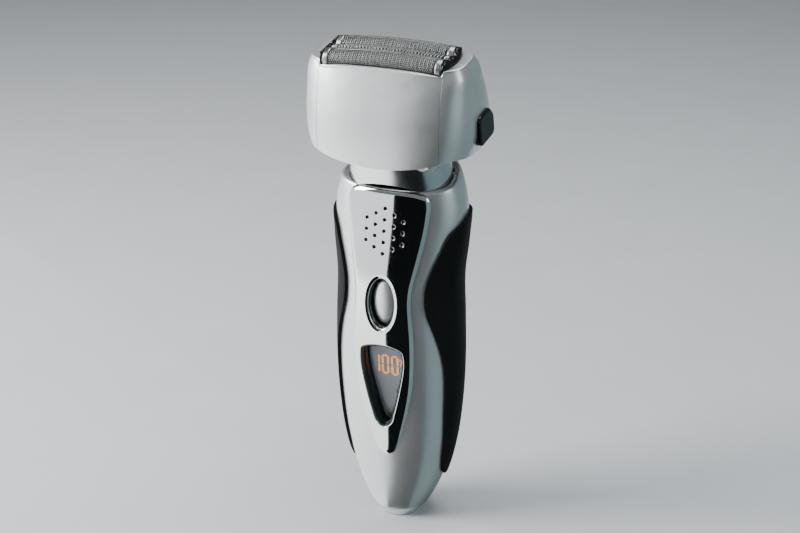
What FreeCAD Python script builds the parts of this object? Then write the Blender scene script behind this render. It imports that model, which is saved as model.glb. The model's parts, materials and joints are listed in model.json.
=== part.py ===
"""Cordless foil shaver with a swinging head, three floating foils and a pop-up trimmer.

Units are millimetres. +Z is up, the front of the shaver faces -Y and the origin is the
centre of the small flat base. Each sub-part is written to parts/NAME.step.
"""
import FreeCAD, Part
import math
import os

V = FreeCAD.Vector
X_AXIS = V(1, 0, 0)
Y_AXIS = V(0, 1, 0)
Z_AXIS = V(0, 0, 1)

# ---------------------------------------------------------------- driving dimensions
# Handle stations: height, half width, front depth, back depth.
HANDLE_STATIONS = [
    (0, 5.4, 7.6, 9.0),
    (3, 8.6, 8.8, 11.0),
    (8, 11.6, 10.0, 12.5),
    (16, 14.9, 11.0, 13.5),
    (28, 17.9, 12.5, 14.4),
    (42, 19.6, 14.2, 15.2),
    (58, 20.2, 15.5, 15.7),
    (72, 19.9, 16.2, 15.9),
    (86, 19.6, 15.6, 15.7),
    (98, 21.0, 13.6, 15.7),
    (110, 21.5, 11.8, 16.3),
    (118, 19.4, 10.6, 16.6),
    (127, 14.5, 9.0, 15.5),
]
SECTION_POINTS = 32
BACK_CURVE = 2.35          # exponent of the rounded sections behind and beside
HOUSING_CURVE = 2.3        # exponent of the housing's front
PANEL_CURVE = 2.35         # exponent of the flatter chrome panel
HOUSING_DROP = 0.9         # housing front below the panel's surface at the centre
WALL = 2.0
BASE_FLOOR = 2.4
DECK_Z = 108.0             # underside of the deck that closes the handle's top
RIM_FRONT_Z = 114.5        # height of the sloping rim at its front
RIM_FRONT_Y = -12.0
RIM_SLOPE = 17.0           # degrees, rising to the back
HOUSING_SPLIT_Y = 4.5      # front and rear housing meet here
SOCKET_PAD = (5.0, 7.6, 2.9)  # half width, back and top of the front housing's floor there

# Chrome panel outline: height, half width at the surface.
PANEL_OUTLINE = [
    (24.9, 0.0), (26.2, 2.5), (29.0, 4.0), (34, 5.5), (40, 7.2), (46, 8.6), (52, 9.6),
    (60, 10.15), (68, 10.2), (74, 9.8), (80, 9.35), (85, 9.6), (90, 10.5), (96, 11.6),
    (102, 12.6), (108, 13.1), (112.6, 13.1), (114.6, 12.3), (115.2, 10.2), (115.4, 0.0),
]
PANEL_BED = 2.3            # depth of the panel's back below its surface
PANEL_BEVEL = 0.42         # sideways run of the edge per millimetre of depth

# Side grips: front edge in side view as (y, z).
GRIP_EDGE = [
    (13.0, 106.8), (5.0, 107.2), (-1.2, 105.8), (-6.2, 102.4), (-8.6, 96.6), (-10.3, 91.4),
    (-11.6, 86.0), (-12.1, 80.6), (-11.8, 75.4), (-10.3, 68.8), (-8.6, 62.0), (-7.5, 56.0),
    (-6.9, 49.0), (-6.4, 41.0), (-5.3, 31.8), (-3.4, 20.6), (-1.0, 16.6), (4.0, 15.2),
    (13.0, 17.0),
]
GRIP_INNER_X = 9.9
GRIP_THICK = 1.1
GRIP_PROUD = 0.25

# Dimples above the button.
DIMPLE_COLUMNS = (3, 4, 5, 4, 3)
DIMPLE_PITCH_Z = 3.55
DIMPLE_PITCH_X = 3.07
DIMPLE_CENTRE_Z = 102.6
DIMPLE_R = 0.72
DIMPLE_DEPTH = 0.8

# Power button and its well.
BUTTON_Z = 79.2
WELL_HALF = (5.25, 9.1)
BUTTON_HALF = (3.5, 7.25)
WELL_DEPTH = 3.9
BUTTON_EDGE_DEPTH = 3.1
BUTTON_DOME = 1.5
BUTTON_TRAVEL = 0.8

# Display window: outline as (x, z) of the right half.
WINDOW_TOP_Z = 65.3
WINDOW_CORNER = (7.4, 63.2)
WINDOW_BELOW_CORNER = (7.3, 57.5)
WINDOW_TIP_Z = 35.6
GLASS_DEPTH = 4.5
WINDOW_STEP = 1.2
DISPLAY_TILT = 4.6         # degrees, glass leans forward at its top
DISPLAY_Z = 50.0

# Head frame: its origin is on the swing axis and it leans forward.
HEAD_ORIGIN = V(0, 0, 122)
HEAD_TILT = 12.0
HEAD_PLACE = FreeCAD.Placement(HEAD_ORIGIN, FreeCAD.Rotation(X_AXIS, HEAD_TILT))
# Head shell stations: height, half width, front depth, back depth.
HEAD_STATIONS = [
    (2.0, 23.6, 19.2, 20.6),
    (5.0, 24.9, 18.9, 20.3),
    (12.0, 27.1, 18.0, 19.4),
    (20.0, 27.5, 16.1, 17.5),
    (28.0, 27.0, 13.1, 14.5),
    (33.0, 26.6, 10.7, 12.1),
    (36.8, 24.8, 8.9, 10.3),
]
HEAD_FRONT_CURVE = 3.3     # exponents of the head's boxy sections
HEAD_BACK_CURVE = 3.8
HEAD_WALL = 1.3
FRONT_LIP_Z = 34.6
FRONT_LIP_ARCH = 1.2
LIP_HALF = 20.0
SHOULDER = (21.6, 36.2)    # half width and height of the rim beside the foils
SKIRT_CENTRE_Z = 6.8
SKIRT_END = (24.0, 11.3)   # half width and height of the skirt's arch at the front
SKIRT_FALL = 16.0          # degrees, falling to the back
SKIRT_FRONT_Y = -18.6
SKIRT_REAR_Z = 2.6
HEAD_SEAM = V(0, 2, 19)    # the foil frame's halves meet on a leaning plane through here
HEAD_SEAM_LEAN = 12.5
OPENING_HALF = (20.0, 8.35)
OPENING_BOW = 22.0
CASSETTE_END_X = 17.8      # round outer shoulders of the cassette's ends
CASSETTE_END_Z = 33.8
CASSETTE_END_R = 4.9

CASSETTE_TOP_Z = 38.3
CASSETTE_Z = (27.8, 30.4)  # rails under the foils
CASSETTE_CLIP_X = 20.3
CASSETTE_CROWN = (2.4, 35.4)  # radius and height of the middle hump

# Foils and cutters.
FOIL_HALF_LENGTH = 19.5
FOIL_ARCH_R = 190.0        # the foils bow along their length
FOIL_R = 3.25
FOIL_Y = 4.75
FOIL_CROWN_Z = 39.4
FOIL_THICK = 0.2
FOIL_SKIRT_Z = 32.6
SLIT_HALF_WIDTH = 1.15
SLIT_CROWN_Z = 38.6
BLADE_GAP = 0.3
BLADE_HALF_LENGTH = 17.4
BLADE_COUNT = 29
BLADE_THICK = 0.45
CUTTER_THICK = 0.4
STROKE = 1.1               # oscillation each way
PIN_R = 1.0
PIN_GAP = 0.05
BLADE_FOOT_Z = 33.0
HOLDER_END = 0.4           # carriers reach this far past the last blade
HOLDER_Z = 29.4            # underside of the outer carriers
HOLDER_HALF_Y = 2.4
SLIT_HUB = (1.75, 28.4, 31.0)  # radius, foot and top of the slit carrier's hub
BLADE_SPRING = (1.9, 0.22, 25.4, 4, 0.78)  # radius, wire radius, height, turns, pitch
SLIT_SPRING = (1.5, 0.2, 24.8, 3, 0.8)

# Head chassis and motor, in the head's frame.
TRAY_HALF = (18.6, 9.4)
TRAY_Z = (11.0, 22.0)
TRAY_WALL = (1.8, 1.6)
TRAY_FLOOR = 1.8
TONGUE_HALF = (4.6, 5.0)
TONGUE_Z = (-4.4, 12.0)
LID_TOP_Z = 23.4
SLOT_HALF = (2.6, 1.3)     # slots in the lid for the drive pins
SEAL_HALF = (3.4, 1.95)
SEAL_TOP_Z = 24.2
CORE_HALF = (13.0, 6.6)
CORE_Z = (12.8, 14.0, 17.0)  # foot, top of the yoke, top of the legs
CORE_LEG_X = 11.5
CORE_LEG_HALF = 1.5
COIL_HALF = (8.6, 7.2)
COIL_Z = (14.1, 16.8)
MOVER_Z = (18.0, 20.2)
OUTER_MOVER = (15.4, 1.5)  # half length and half width of its rails
MOVER_BAR = (14.4, 6.25)   # place and half length of its cross bars
SLIT_MOVER = (10.4, 2.5)
OUTER_PIN_TOP_Z = 30.3
SLIT_PIN_TOP_Z = 29.8
MAGNET_FOOT_Z = 17.3
MAGNET_HALF_X = 3.0
OUTER_MAGNET = (6.5, 1.4)  # place along X and half width
SLIT_MAGNET = (6.0, 2.3)

# Release buttons: outer face and outline as (y, z).
RELEASE_FACE_X = 28.6
RELEASE_OUTLINE = [
    (-0.8, 8.9), (8.0, 8.9), (9.3, 10.2), (9.3, 15.6), (6.6, 18.8), (-0.8, 18.8),
    (-2.2, 17.4), (-2.2, 10.3),
]
RELEASE_GAP = 0.3

# Neck stations: height, half width, front and back; and its arched lower edge.
NECK_STATIONS = [
    (110.0, 17.0, -10.1, 10.6),
    (118.0, 16.9, -10.9, 10.4),
    (124.0, 16.0, -12.0, 9.8),
    (131.0, 14.6, -13.4, 8.6),
]
NECK_CURVE = 2.7
NECK_TOP_Z = 7.6           # in the head's frame
NECK_EDGE_Z = 115.0
NECK_EDGE_ARCH = 2.1
NECK_EDGE_HALF = 11.5
NECK_EDGE_Y = -8.0
SCOOP_PLACE = V(13.0, -10.5, 6.2)
SCOOP_R = 4.8
NUB_PLACE = V(13.0, -6.4, 4.6)
NUB_R = 3.2

# Pivot.
PIVOT_R = 1.5
PIVOT_HALF = 8.6
BUSH_R = 2.6

# Pop-up trimmer.
TRIMMER_HALF_X = 13.4
TRIMMER_Z = (78.0, 111.0)
TRIMMER_PROUD = 2.6
TRIMMER_Y = 13.75
RAIL_Y = 11.5
RAIL_THICK = 1.9
RAIL_GROOVE = (4.3, 12.2)  # half width and depth coordinate
RUNNER = (4.0, 12.5)
RIDGES = [(88.0, 90.6, 18.9), (82.6, 86.4, 19.4)]  # low, high and back of each thumb ridge
RIDGE_HALF_X = 14.4
COMB_PITCH = 1.3
COMB_GAP = 0.6
COMB_TOOTH = 1.6

# Fasteners: place along X and height, front end and head seat along Y.
SCREWS = [(0.0, 15.6, 0.0, 11.6), (0.0, 72.0, 0.0, 13.4)]
SCREW_R = 1.0
SCREW_HEAD_R = 2.1
BOSS_R = 2.9

# Electrical parts inside the handle.
BOARD_Y = -4.6
BOARD_THICK = 1.0
BOARD_HALF_X = 11.0
BOARD_Z = (30.0, 104.0)
CHIPS = [(-6.0, 1.0, 1.2, 86.0, 93.0), (3.5, 8.0, 1.0, 88.0, 92.0), (-7.0, -3.0, 1.0, 96.0, 101.0)]
CELL_R = 7.0
CELL_Y = 4.4
CELL_Z = (20.2, 66.2)
CELL_TIP = (2.4, 67.2)     # radius and top of its contact

# Charging socket in the base.
INLET_Y = 4.0
SOCKET_HALF = (3.6, 2.6)
INLET_HALF = (4.6, 3.5)
SOCKET_DEPTH = 6.8
INLET_TOP = 9.6


# ---------------------------------------------------------------- helpers
def box(x0, x1, y0, y1, z0, z1):
    return Part.makeBox(x1 - x0, y1 - y0, z1 - z0, V(x0, y0, z0))


def sym_box(half_x, half_y, z0, z1, y=0.0):
    return box(-half_x, half_x, y - half_y, y + half_y, z0, z1)


def rod(radius, start, end):
    """Round bar from start to end."""
    axis = end - start
    return Part.makeCylinder(radius, axis.Length, start, axis)


def spline_wire(points):
    """Smooth closed loop through the points."""
    curve = Part.BSplineCurve()
    curve.interpolate(points, PeriodicFlag=True)
    return Part.Wire(curve.toShape())


def polygon(points):
    return Part.makePolygon(points + [points[0]])


def prism(wire, along):
    return Part.Face(wire).extrude(along)


def fuse(shapes):
    if len(shapes) == 1:
        return shapes[0]
    return shapes[0].multiFuse(shapes[1:]).removeSplitter()


def round_edges(shape, radius, keep):
    """Round the edges that keep(edge) picks, or leave the shape if they can't be rounded."""
    edges = [e for e in shape.Edges if keep(e)]
    try:
        rounded = shape.makeFillet(radius, edges)
        return rounded if rounded.isValid() and rounded.Volume > 0 else shape
    except Exception:
        return shape


def along_axis(edge, axis):
    """True for a straight edge parallel to the axis."""
    if len(edge.Vertexes) != 2:
        return False
    line = edge.Vertexes[1].Point - edge.Vertexes[0].Point
    return line.Length > 1e-6 and abs(line.normalize().dot(axis)) > 0.999


def rounded_block(x0, x1, y0, y1, z0, z1, radius, axis):
    """Box with the four edges along one axis rounded."""
    return round_edges(box(x0, x1, y0, y1, z0, z1), radius, lambda e: along_axis(e, axis))


def signed_power(value, power):
    return math.copysign(abs(value) ** power, value)


def mirrored(shape):
    return shape.mirror(V(0, 0, 0), X_AXIS)


def placed(shape):
    """Move a shape from the head's own frame into the shaver's."""
    moved = shape.copy()
    moved.Placement = HEAD_PLACE.multiply(moved.Placement)
    return moved


def save(name, shapes):
    """Write one sub-part, which may be a group of separate solids."""
    solids = [s for shape in shapes for s in shape.Solids]
    for solid in solids:
        if not solid.isValid() or solid.Volume <= 0:
            print("bad solid in", name)
    shape = solids[0] if len(solids) == 1 else Part.makeCompound(solids)
    shape.exportStep(os.path.join("parts", name + ".step"))
    print(f"{name:24s} solids {len(solids):3d}  volume {sum(s.Volume for s in solids):9.1f}")


# ---------------------------------------------------------------- handle surfaces
def section(z, half_width, front, back, curve, back_curve=BACK_CURVE):
    """Rounded oval section, with its own front and back depth."""
    points = []
    for k in range(SECTION_POINTS):
        angle = 2 * math.pi * k / SECTION_POINTS
        behind = math.sin(angle) > 0
        exponent = 2 / (back_curve if behind else curve)
        depth = back if behind else front
        x = half_width * signed_power(math.cos(angle), exponent)
        y = depth * signed_power(math.sin(angle), exponent)
        points.append(V(x, y, z))
    return spline_wire(points)


def skin(front_drop=0.0, inset=0.0, curve=HOUSING_CURVE):
    """Solid inside the handle's surface, moved in by the inset all round."""
    wires = []
    for z, half_width, front, back in HANDLE_STATIONS:
        wires.append(section(z, half_width - inset, front - front_drop - inset,
                             back - inset, curve))
    return Part.makeLoft(wires, True, False)


def above_rim(lift=0.0):
    """Everything above the sloping rim of the handle."""
    block = Part.makeBox(120, 120, 60, V(-60, -60, 0))
    block.rotate(V(0, 0, 0), X_AXIS, RIM_SLOPE)
    block.translate(V(0, RIM_FRONT_Y, RIM_FRONT_Z + lift))
    return block


def station_at(z):
    """Half width and front depth of the handle at a height."""
    for low, high in zip(HANDLE_STATIONS, HANDLE_STATIONS[1:]):
        if low[0] <= z <= high[0]:
            share = (z - low[0]) / (high[0] - low[0])
            return [low[k] + share * (high[k] - low[k]) for k in (1, 2)]
    return HANDLE_STATIONS[-1][1:3]


def front_depth(z, x=0.0):
    """Depth of the panel's surface."""
    half_width, front = station_at(z)
    return front * (1 - (abs(x) / half_width) ** PANEL_CURVE) ** (1 / PANEL_CURVE)


def panel_prism():
    """The panel's outline with edges that spread towards the housing."""
    right = [(half, z) for z, half in PANEL_OUTLINE]
    outline = right + [(-x, z) for x, z in reversed(right[1:-1])]
    loops = []
    for y in (-17.0, -5.0):
        points = []
        for k, (x, z) in enumerate(outline):
            before, after = outline[k - 1], outline[(k + 1) % len(outline)]
            out = V(after[1] - before[1], 0, before[0] - after[0]).normalize()
            points.append(V(x, y, z) + out * (PANEL_BEVEL * (y + front_depth(z, x))))
        loops.append(spline_wire(points))
    return Part.makeLoft(loops, True, True)


def window_wire(y, shrink=0.0):
    """Shield-shaped display outline at depth y: arched top, curved sides, round tip."""
    cx, cz = WINDOW_CORNER
    bx, bz = WINDOW_BELOW_CORNER
    right = [
        (bx - shrink, bz), (cx - shrink, cz - 2.2), (cx - 0.5 - shrink, cz + 0.2 - shrink),
        (cx - 2.2 - shrink, cz + 1.2 - shrink),
    ]
    low = [
        (5.75 - shrink, 49.0), (3.7 - shrink, 41.0), (2.5 - shrink * 0.8, 37.4 + shrink * 0.3),
    ]
    top = (0.0, WINDOW_TOP_Z - shrink)
    tip = (0.0, WINDOW_TIP_Z + shrink)
    half = [tip] + list(reversed(low)) + right + [top]
    points = [V(x, y, z) for x, z in half]
    points += [V(-p.x, p.y, p.z) for p in reversed(points[1:-1])]
    return spline_wire(points)


def ellipse_prism(half_x, half_z, y0, y1):
    """Elliptical bar along Y around the button's centre."""
    loop = [V(half_x * math.cos(a), y0, BUTTON_Z + half_z * math.sin(a))
            for a in (2 * math.pi * k / 24 for k in range(24))]
    return prism(spline_wire(loop), V(0, y1 - y0, 0))


def display_slab(depth, thickness, margin=0.0):
    """Flat layer of the display, leaning with the front of the handle."""
    front = -(front_depth(DISPLAY_Z) - depth)
    slab = box(-20, 20, 0, thickness, -30 - margin, 30 + margin)
    slab.rotate(V(0, 0, 0), X_AXIS, DISPLAY_TILT)
    slab.translate(V(0, front, DISPLAY_Z))
    return slab


# ---------------------------------------------------------------- handle parts
def grip_prism():
    """Region that the right side grip covers."""
    edge = Part.BSplineCurve()
    edge.interpolate([V(GRIP_INNER_X, y, z) for y, z in GRIP_EDGE])
    top = V(GRIP_INNER_X, *GRIP_EDGE[0])
    foot = V(GRIP_INNER_X, *GRIP_EDGE[-1])
    far = 30
    corners = [foot, V(GRIP_INNER_X, far, foot.z), V(GRIP_INNER_X, far, top.z), top]
    lines = [Part.makeLine(a, b) for a, b in zip(corners, corners[1:])]
    return prism(Part.Wire([edge.toShape()] + lines), V(20, 0, 0))


def make_grip():
    """Rubber side grip, a skin set into the housing and slightly proud of it."""
    band = skin(HOUSING_DROP, -GRIP_PROUD).cut(skin(HOUSING_DROP, GRIP_THICK))
    return band.common(grip_prism())


def neck_block(grow=0.0):
    """Silver neck: a rounded block that leans forward and narrows upwards."""
    wires = []
    for z, half, front, back in NECK_STATIONS:
        centre = (front + back) / 2
        depth = (back - front) / 2 + grow
        wire = section(z, half + grow, depth, depth, NECK_CURVE, NECK_CURVE)
        wire.translate(V(0, centre, 0))
        wires.append(wire)
    return Part.makeLoft(wires, True, False)


def under_neck():
    """Space in front of the neck's foot: the panel's top end and a crescent above it."""
    low, y = 100, -30
    edge, half = NECK_EDGE_Z, NECK_EDGE_HALF
    arc = Part.Arc(V(-half, y, edge), V(0, y, edge + NECK_EDGE_ARCH), V(half, y, edge))
    corners = [V(half, y, edge), V(30, y, edge), V(30, y, low), V(-30, y, low),
               V(-30, y, edge), V(-half, y, edge)]
    lines = [Part.makeLine(a, b) for a, b in zip(corners, corners[1:])]
    return prism(Part.Wire([arc.toShape()] + lines), V(0, NECK_EDGE_Y - y, 0))


def scoops():
    """Round scoops at both sides of the neck's front, under the head."""
    place = SCOOP_PLACE
    return [Part.makeSphere(SCOOP_R, V(side * place.x, place.y, place.z)) for side in (-1, 1)]


def make_neck():
    """Neck cover, open at its top for the swinging head, with pivot ears inside."""
    neck = neck_block()
    top = sym_box(30, 30, NECK_TOP_Z, 40)
    hollow = sym_box(8.6, 5.4, -6.2, 12)
    hole = rod(PIVOT_R, V(0, -PIVOT_HALF, 0), V(0, PIVOT_HALF, 0))
    for cutter in [top, hollow, hole] + scoops():
        neck = neck.cut(placed(cutter))
    return max(neck.cut(under_neck()).cut(panel_blank()).Solids, key=lambda s: s.Volume)


def make_neck_balls(neck):
    """Round nubs that show in the scoops on each side of the neck's front."""
    balls = []
    for side in (-1, 1):
        nub = Part.makeSphere(NUB_R, V(side * NUB_PLACE.x, NUB_PLACE.y, NUB_PLACE.z))
        nub = nub.cut(sym_box(40, 40, NECK_TOP_Z - 0.2, 30))
        balls.append(max(placed(nub).cut(neck).Solids, key=lambda solid: solid.Volume))
    return balls


def button_well_prism(shrink=0.0, y0=-30.0, y1=0.0):
    return ellipse_prism(WELL_HALF[0] - shrink, WELL_HALF[1] - shrink, y0, y1)


def trimmer_bay():
    """Space in the rear housing for the trimmer, open to the rim."""
    half = TRIMMER_HALF_X + 0.4
    return box(-half, half, RAIL_Y - 0.1, 40, TRIMMER_Z[0] - 1.5, 140)


def make_housings(grips):
    """Front and rear housing shells, with all their openings."""
    outer = skin(HOUSING_DROP)
    hollow = skin(HOUSING_DROP, WALL).common(box(-60, 60, -60, 60, BASE_FLOOR, DECK_Z))
    shell = outer.cut(hollow).cut(above_rim())
    shell = shell.cut(panel_blank())
    for grip in grips:
        shell = shell.cut(grip)
    shell = shell.cut(prism(window_wire(-30), V(0, 29, 0)))
    shell = shell.cut(button_well_prism())
    shell = shell.cut(neck_block(0.35))
    shell = shell.cut(sym_box(9, 6.5, DECK_Z - 1, 111, -0.5))
    shell = shell.cut(inlet_block(SOCKET_HALF, -1, 12, 1.2))
    shell = shell.cut(trimmer_bay())
    for x, z, y, seat in SCREWS:
        shell = shell.cut(rod(SCREW_R + 0.3, V(x, HOUSING_SPLIT_Y, z), V(x, 40, z)))
        shell = shell.cut(rod(SCREW_HEAD_R + 0.2, V(x, seat, z), V(x, 40, z)))
    x, y, z = SOCKET_PAD
    pad = box(-x, x, HOUSING_SPLIT_Y - 1, y, -5, z)
    ahead = fuse([box(-60, 60, -60, HOUSING_SPLIT_Y, -5, 140), pad])
    front = shell.common(ahead)
    rear = shell.cut(ahead)
    bosses = []
    posts = []
    for x, z, y, seat in SCREWS:
        boss = rod(BOSS_R, V(x, HOUSING_SPLIT_Y, z), V(x, seat + 1.0, z)).common(outer)
        boss = boss.cut(rod(SCREW_R + 0.3, V(x, 0, z), V(x, 40, z)))
        bosses.append(boss.cut(rod(SCREW_HEAD_R + 0.2, V(x, seat, z), V(x, 40, z))))
        post = rod(BOSS_R, V(x, y, z), V(x, HOUSING_SPLIT_Y, z))
        posts.append(post.cut(rod(SCREW_R, V(x, y + 1, z), V(x, 40, z))))
    rear = fuse([rear] + bosses)
    return front, rear, posts


def panel_blank():
    """The panel before its openings: the flatter front surface inside the outline."""
    surface = skin(0.0, 0.0, PANEL_CURVE)
    bed = skin(PANEL_BED, 0.02, PANEL_CURVE)
    return surface.common(panel_prism()).cut(bed)


def make_panel():
    """Chrome front panel with its dimples, button opening and window opening."""
    panel = panel_blank()
    panel = panel.cut(button_well_prism()).cut(prism(window_wire(-30), V(0, 29, 0)))
    dimples = []
    middle = (len(DIMPLE_COLUMNS) - 1) / 2
    for column, count in enumerate(DIMPLE_COLUMNS):
        x = (column - middle) * DIMPLE_PITCH_X
        for row in range(count):
            z = DIMPLE_CENTRE_Z + (row - (count - 1) / 2) * DIMPLE_PITCH_Z
            depth = front_depth(z)
            dimples.append(rod(DIMPLE_R, V(x, -depth - 2, z), V(x, -depth + DIMPLE_DEPTH, z)))
    return panel.cut(Part.makeCompound(dimples))


def make_well():
    """Dark cup round the power button, with an opening for it."""
    surface_y = -front_depth(BUTTON_Z)
    floor = surface_y + WELL_DEPTH
    cup = button_well_prism(0.0, surface_y - 3, floor + 1.0)
    cup = cup.common(skin(0.5, 0.0, PANEL_CURVE))
    cup = cup.cut(button_well_prism(0.75, surface_y - 5, floor))
    return cup.cut(ellipse_prism(BUTTON_HALF[0] + 0.3, BUTTON_HALF[1] + 0.3, -30, 0))


def make_power_button():
    """Domed oval button with a foot behind the cup."""
    edge_y = -front_depth(BUTTON_Z) + BUTTON_EDGE_DEPTH
    body = ellipse_prism(BUTTON_HALF[0], BUTTON_HALF[1], edge_y, edge_y + 2.6)
    dome = Part.makeSphere(1.0)
    scale = FreeCAD.Matrix()
    scale.scale(BUTTON_HALF[0] * 1.02, BUTTON_DOME, BUTTON_HALF[1] * 1.02)
    dome = dome.transformGeometry(scale)
    dome.translate(V(0, edge_y, BUTTON_Z))
    dome = dome.common(ellipse_prism(BUTTON_HALF[0], BUTTON_HALF[1], -30, edge_y + 0.2))
    foot = ellipse_prism(BUTTON_HALF[0] + 0.9, BUTTON_HALF[1] + 0.9, edge_y + 2.6, edge_y + 3.4)
    return fuse([body, dome, foot])


def make_window_parts():
    """Stepped bezel, glass and display module behind the panel's window."""
    bore = prism(window_wire(-30), V(0, 29, 0))
    inner = prism(window_wire(-30, WINDOW_STEP), V(0, 29, 0))
    flange = prism(window_wire(-30, -1.2), V(0, 29, 0))
    recess = prism(window_wire(-30, 0.45), V(0, 29, 0))
    deep = display_slab(GLASS_DEPTH, 2.8)
    lid = skin(0.35, 0.0, PANEL_CURVE)
    upper = lid.common(bore).cut(display_slab(GLASS_DEPTH, 30, 20))
    step_top = display_slab(1.6, 30, 20)
    bezel = upper.cut(recess.cut(step_top)).cut(inner)
    base = flange.common(deep).cut(prism(window_wire(-30), V(0, 29, 0)))
    glass = bore.common(display_slab(GLASS_DEPTH, 1.0))
    module = bore.common(display_slab(GLASS_DEPTH + 1.01, 1.6))
    return bezel, base, glass, module


def make_inside():
    """Electrical parts inside the handle, as a dictionary."""
    parts = {}
    behind = BOARD_Y + BOARD_THICK
    board = rounded_block(-BOARD_HALF_X, BOARD_HALF_X, BOARD_Y, behind, *BOARD_Z, 3, Y_AXIS)
    parts["circuit_board"] = [board]
    switch_y = -front_depth(BUTTON_Z) + BUTTON_EDGE_DEPTH + 3.4 + BUTTON_TRAVEL + 0.1
    parts["tact_switch"] = [
        box(-3, 3, switch_y + 1.0, BOARD_Y, BUTTON_Z - 3, BUTTON_Z + 3),
        rod(1.4, V(0, switch_y, BUTTON_Z), V(0, switch_y + 1.0, BUTTON_Z)),
    ]
    parts["board_chips"] = [box(x0, x1, behind, behind + high, z0, z1)
                            for x0, x1, high, z0, z1 in CHIPS]
    low, high = CELL_Z
    tip_r, tip_top = CELL_TIP
    cell = rod(CELL_R, V(0, CELL_Y, low), V(0, CELL_Y, high))
    tip = rod(tip_r, V(0, CELL_Y, high - 0.2), V(0, CELL_Y, tip_top))
    parts["battery"] = [fuse([cell, tip])]
    cradle = sym_box(CELL_R + 1.6, 4.6, low - 1, tip_top, CELL_Y - 2.4)
    cradle = cradle.cut(rod(CELL_R + 0.05, V(0, CELL_Y, low), V(0, CELL_Y, 80)))
    cradle = cradle.cut(box(-20, 20, CELL_Y - 30, behind + 0.8, 0, 90))
    parts["battery_holder"] = [cradle]
    return parts


def make_screws():
    """Housing screws, driven in from the back."""
    screws = []
    for x, z, y, seat in SCREWS:
        shank = rod(SCREW_R - 0.02, V(x, y + 1.4, z), V(x, seat, z))
        head = rod(SCREW_HEAD_R, V(x, seat, z), V(x, seat + 1.1, z))
        slot = box(x - 1.5, x + 1.5, seat + 0.5, seat + 2, z - 0.25, z + 0.25)
        cross = box(x - 0.25, x + 0.25, seat + 0.5, seat + 2, z - 1.5, z + 1.5)
        screws.append(fuse([shank, head]).cut(slot).cut(cross))
    return screws


def inlet_block(half, z0, z1, radius, grow=0.0):
    """Upright rounded block centred on the charging socket."""
    x, y = half[0] + grow, half[1] + grow
    return rounded_block(-x, x, INLET_Y - y, INLET_Y + y, z0, z1, radius, Z_AXIS)


def make_inlet():
    """Socket block with its two contact pins and seal, at the base."""
    block = inlet_block(INLET_HALF, BASE_FLOOR, INLET_TOP, 2.0)
    block = block.cut(inlet_block(SOCKET_HALF, -1, SOCKET_DEPTH, 1.2))
    pins = []
    for x in (-1.8, 1.8):
        block = block.cut(rod(0.5, V(x, INLET_Y, 6), V(x, INLET_Y, 20)))
        pins.append(rod(0.5, V(x, INLET_Y, 4.6), V(x, INLET_Y, 11.0)))
    seal = inlet_block(INLET_HALF, 7.4, 8.8, 2.6, 0.9)
    seal = seal.cut(inlet_block(INLET_HALF, 0, 20, 2.0))
    return block, pins, seal


# ---------------------------------------------------------------- head parts
def head_solid(inset=0.0):
    """Solid inside the head's surface, moved in by the inset all round."""
    wires = []
    for z, half_width, front, back in HEAD_STATIONS:
        wires.append(section(z, half_width - inset, front - inset, back - inset,
                             HEAD_FRONT_CURVE, HEAD_BACK_CURVE))
    return Part.makeLoft(wires, True, False)


def under_lips():
    """Everything below the head's arched lips and the shoulders beside them."""
    side, low, depth = 40, -40, 40
    x, z = SHOULDER
    lip = V(LIP_HALF, -depth, FRONT_LIP_Z)
    arc = Part.Arc(lip, V(0, -depth, FRONT_LIP_Z + FRONT_LIP_ARCH), V(-lip.x, lip.y, lip.z))
    right = [V(side, -depth, low), V(side, -depth, z), V(x, -depth, z), lip]
    left = [V(-p.x, p.y, p.z) for p in reversed(right)]
    edges = [arc.toShape()]
    for row in (right, left, [left[-1], right[0]]):
        edges += [Part.makeLine(a, b) for a, b in zip(row, row[1:])]
    return prism(Part.Wire(Part.sortEdges(edges)[0]), V(0, 2 * depth, 0))


def above_skirt():
    """Everything above the head's skirt, which arches in front and falls to the back."""
    side, high, depth = 40, 60, 60
    x, z = SKIRT_END
    arc = Part.Arc(V(-x, 0, z), V(0, 0, SKIRT_CENTRE_Z), V(x, 0, z))
    corners = [V(x, 0, z), V(side, 0, z), V(side, 0, high), V(-side, 0, high), V(-side, 0, z),
               V(-x, 0, z)]
    edges = [arc.toShape()] + [Part.makeLine(a, b) for a, b in zip(corners, corners[1:])]
    region = prism(Part.Wire(edges), V(0, 2 * depth, 0))
    region.translate(V(0, -depth / 2, 0))
    region.rotate(V(0, 0, 0), X_AXIS, -SKIRT_FALL)
    region.translate(V(0, SKIRT_FRONT_Y, 0))
    return region.common(box(-side, side, -depth, depth, SKIRT_REAR_Z, high))


def opening_prism(inset=0.0, z0=30.0, z1=45.0):
    """Opening in the head's top: straight front and back, bowed ends."""
    x, y = OPENING_HALF[0] - inset, OPENING_HALF[1] - inset
    bow = OPENING_BOW - inset
    edges = [
        Part.makeLine(V(-x, -y, z0), V(x, -y, z0)),
        Part.Arc(V(x, -y, z0), V(bow, 0, z0), V(x, y, z0)).toShape(),
        Part.makeLine(V(x, y, z0), V(-x, y, z0)),
        Part.Arc(V(-x, y, z0), V(-bow, 0, z0), V(-x, -y, z0)).toShape(),
    ]
    return prism(Part.Wire(edges), V(0, 0, z1 - z0))


def release_prism(grow=0.0):
    """Region of a release button in the head's right end."""
    y_mid = sum(y for y, _ in RELEASE_OUTLINE) / len(RELEASE_OUTLINE)
    z_mid = sum(z for _, z in RELEASE_OUTLINE) / len(RELEASE_OUTLINE)
    points = [V(18, y + math.copysign(grow, y - y_mid), z + math.copysign(grow, z - z_mid))
              for y, z in RELEASE_OUTLINE]
    return prism(polygon(points), V(20, 0, 0))


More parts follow.
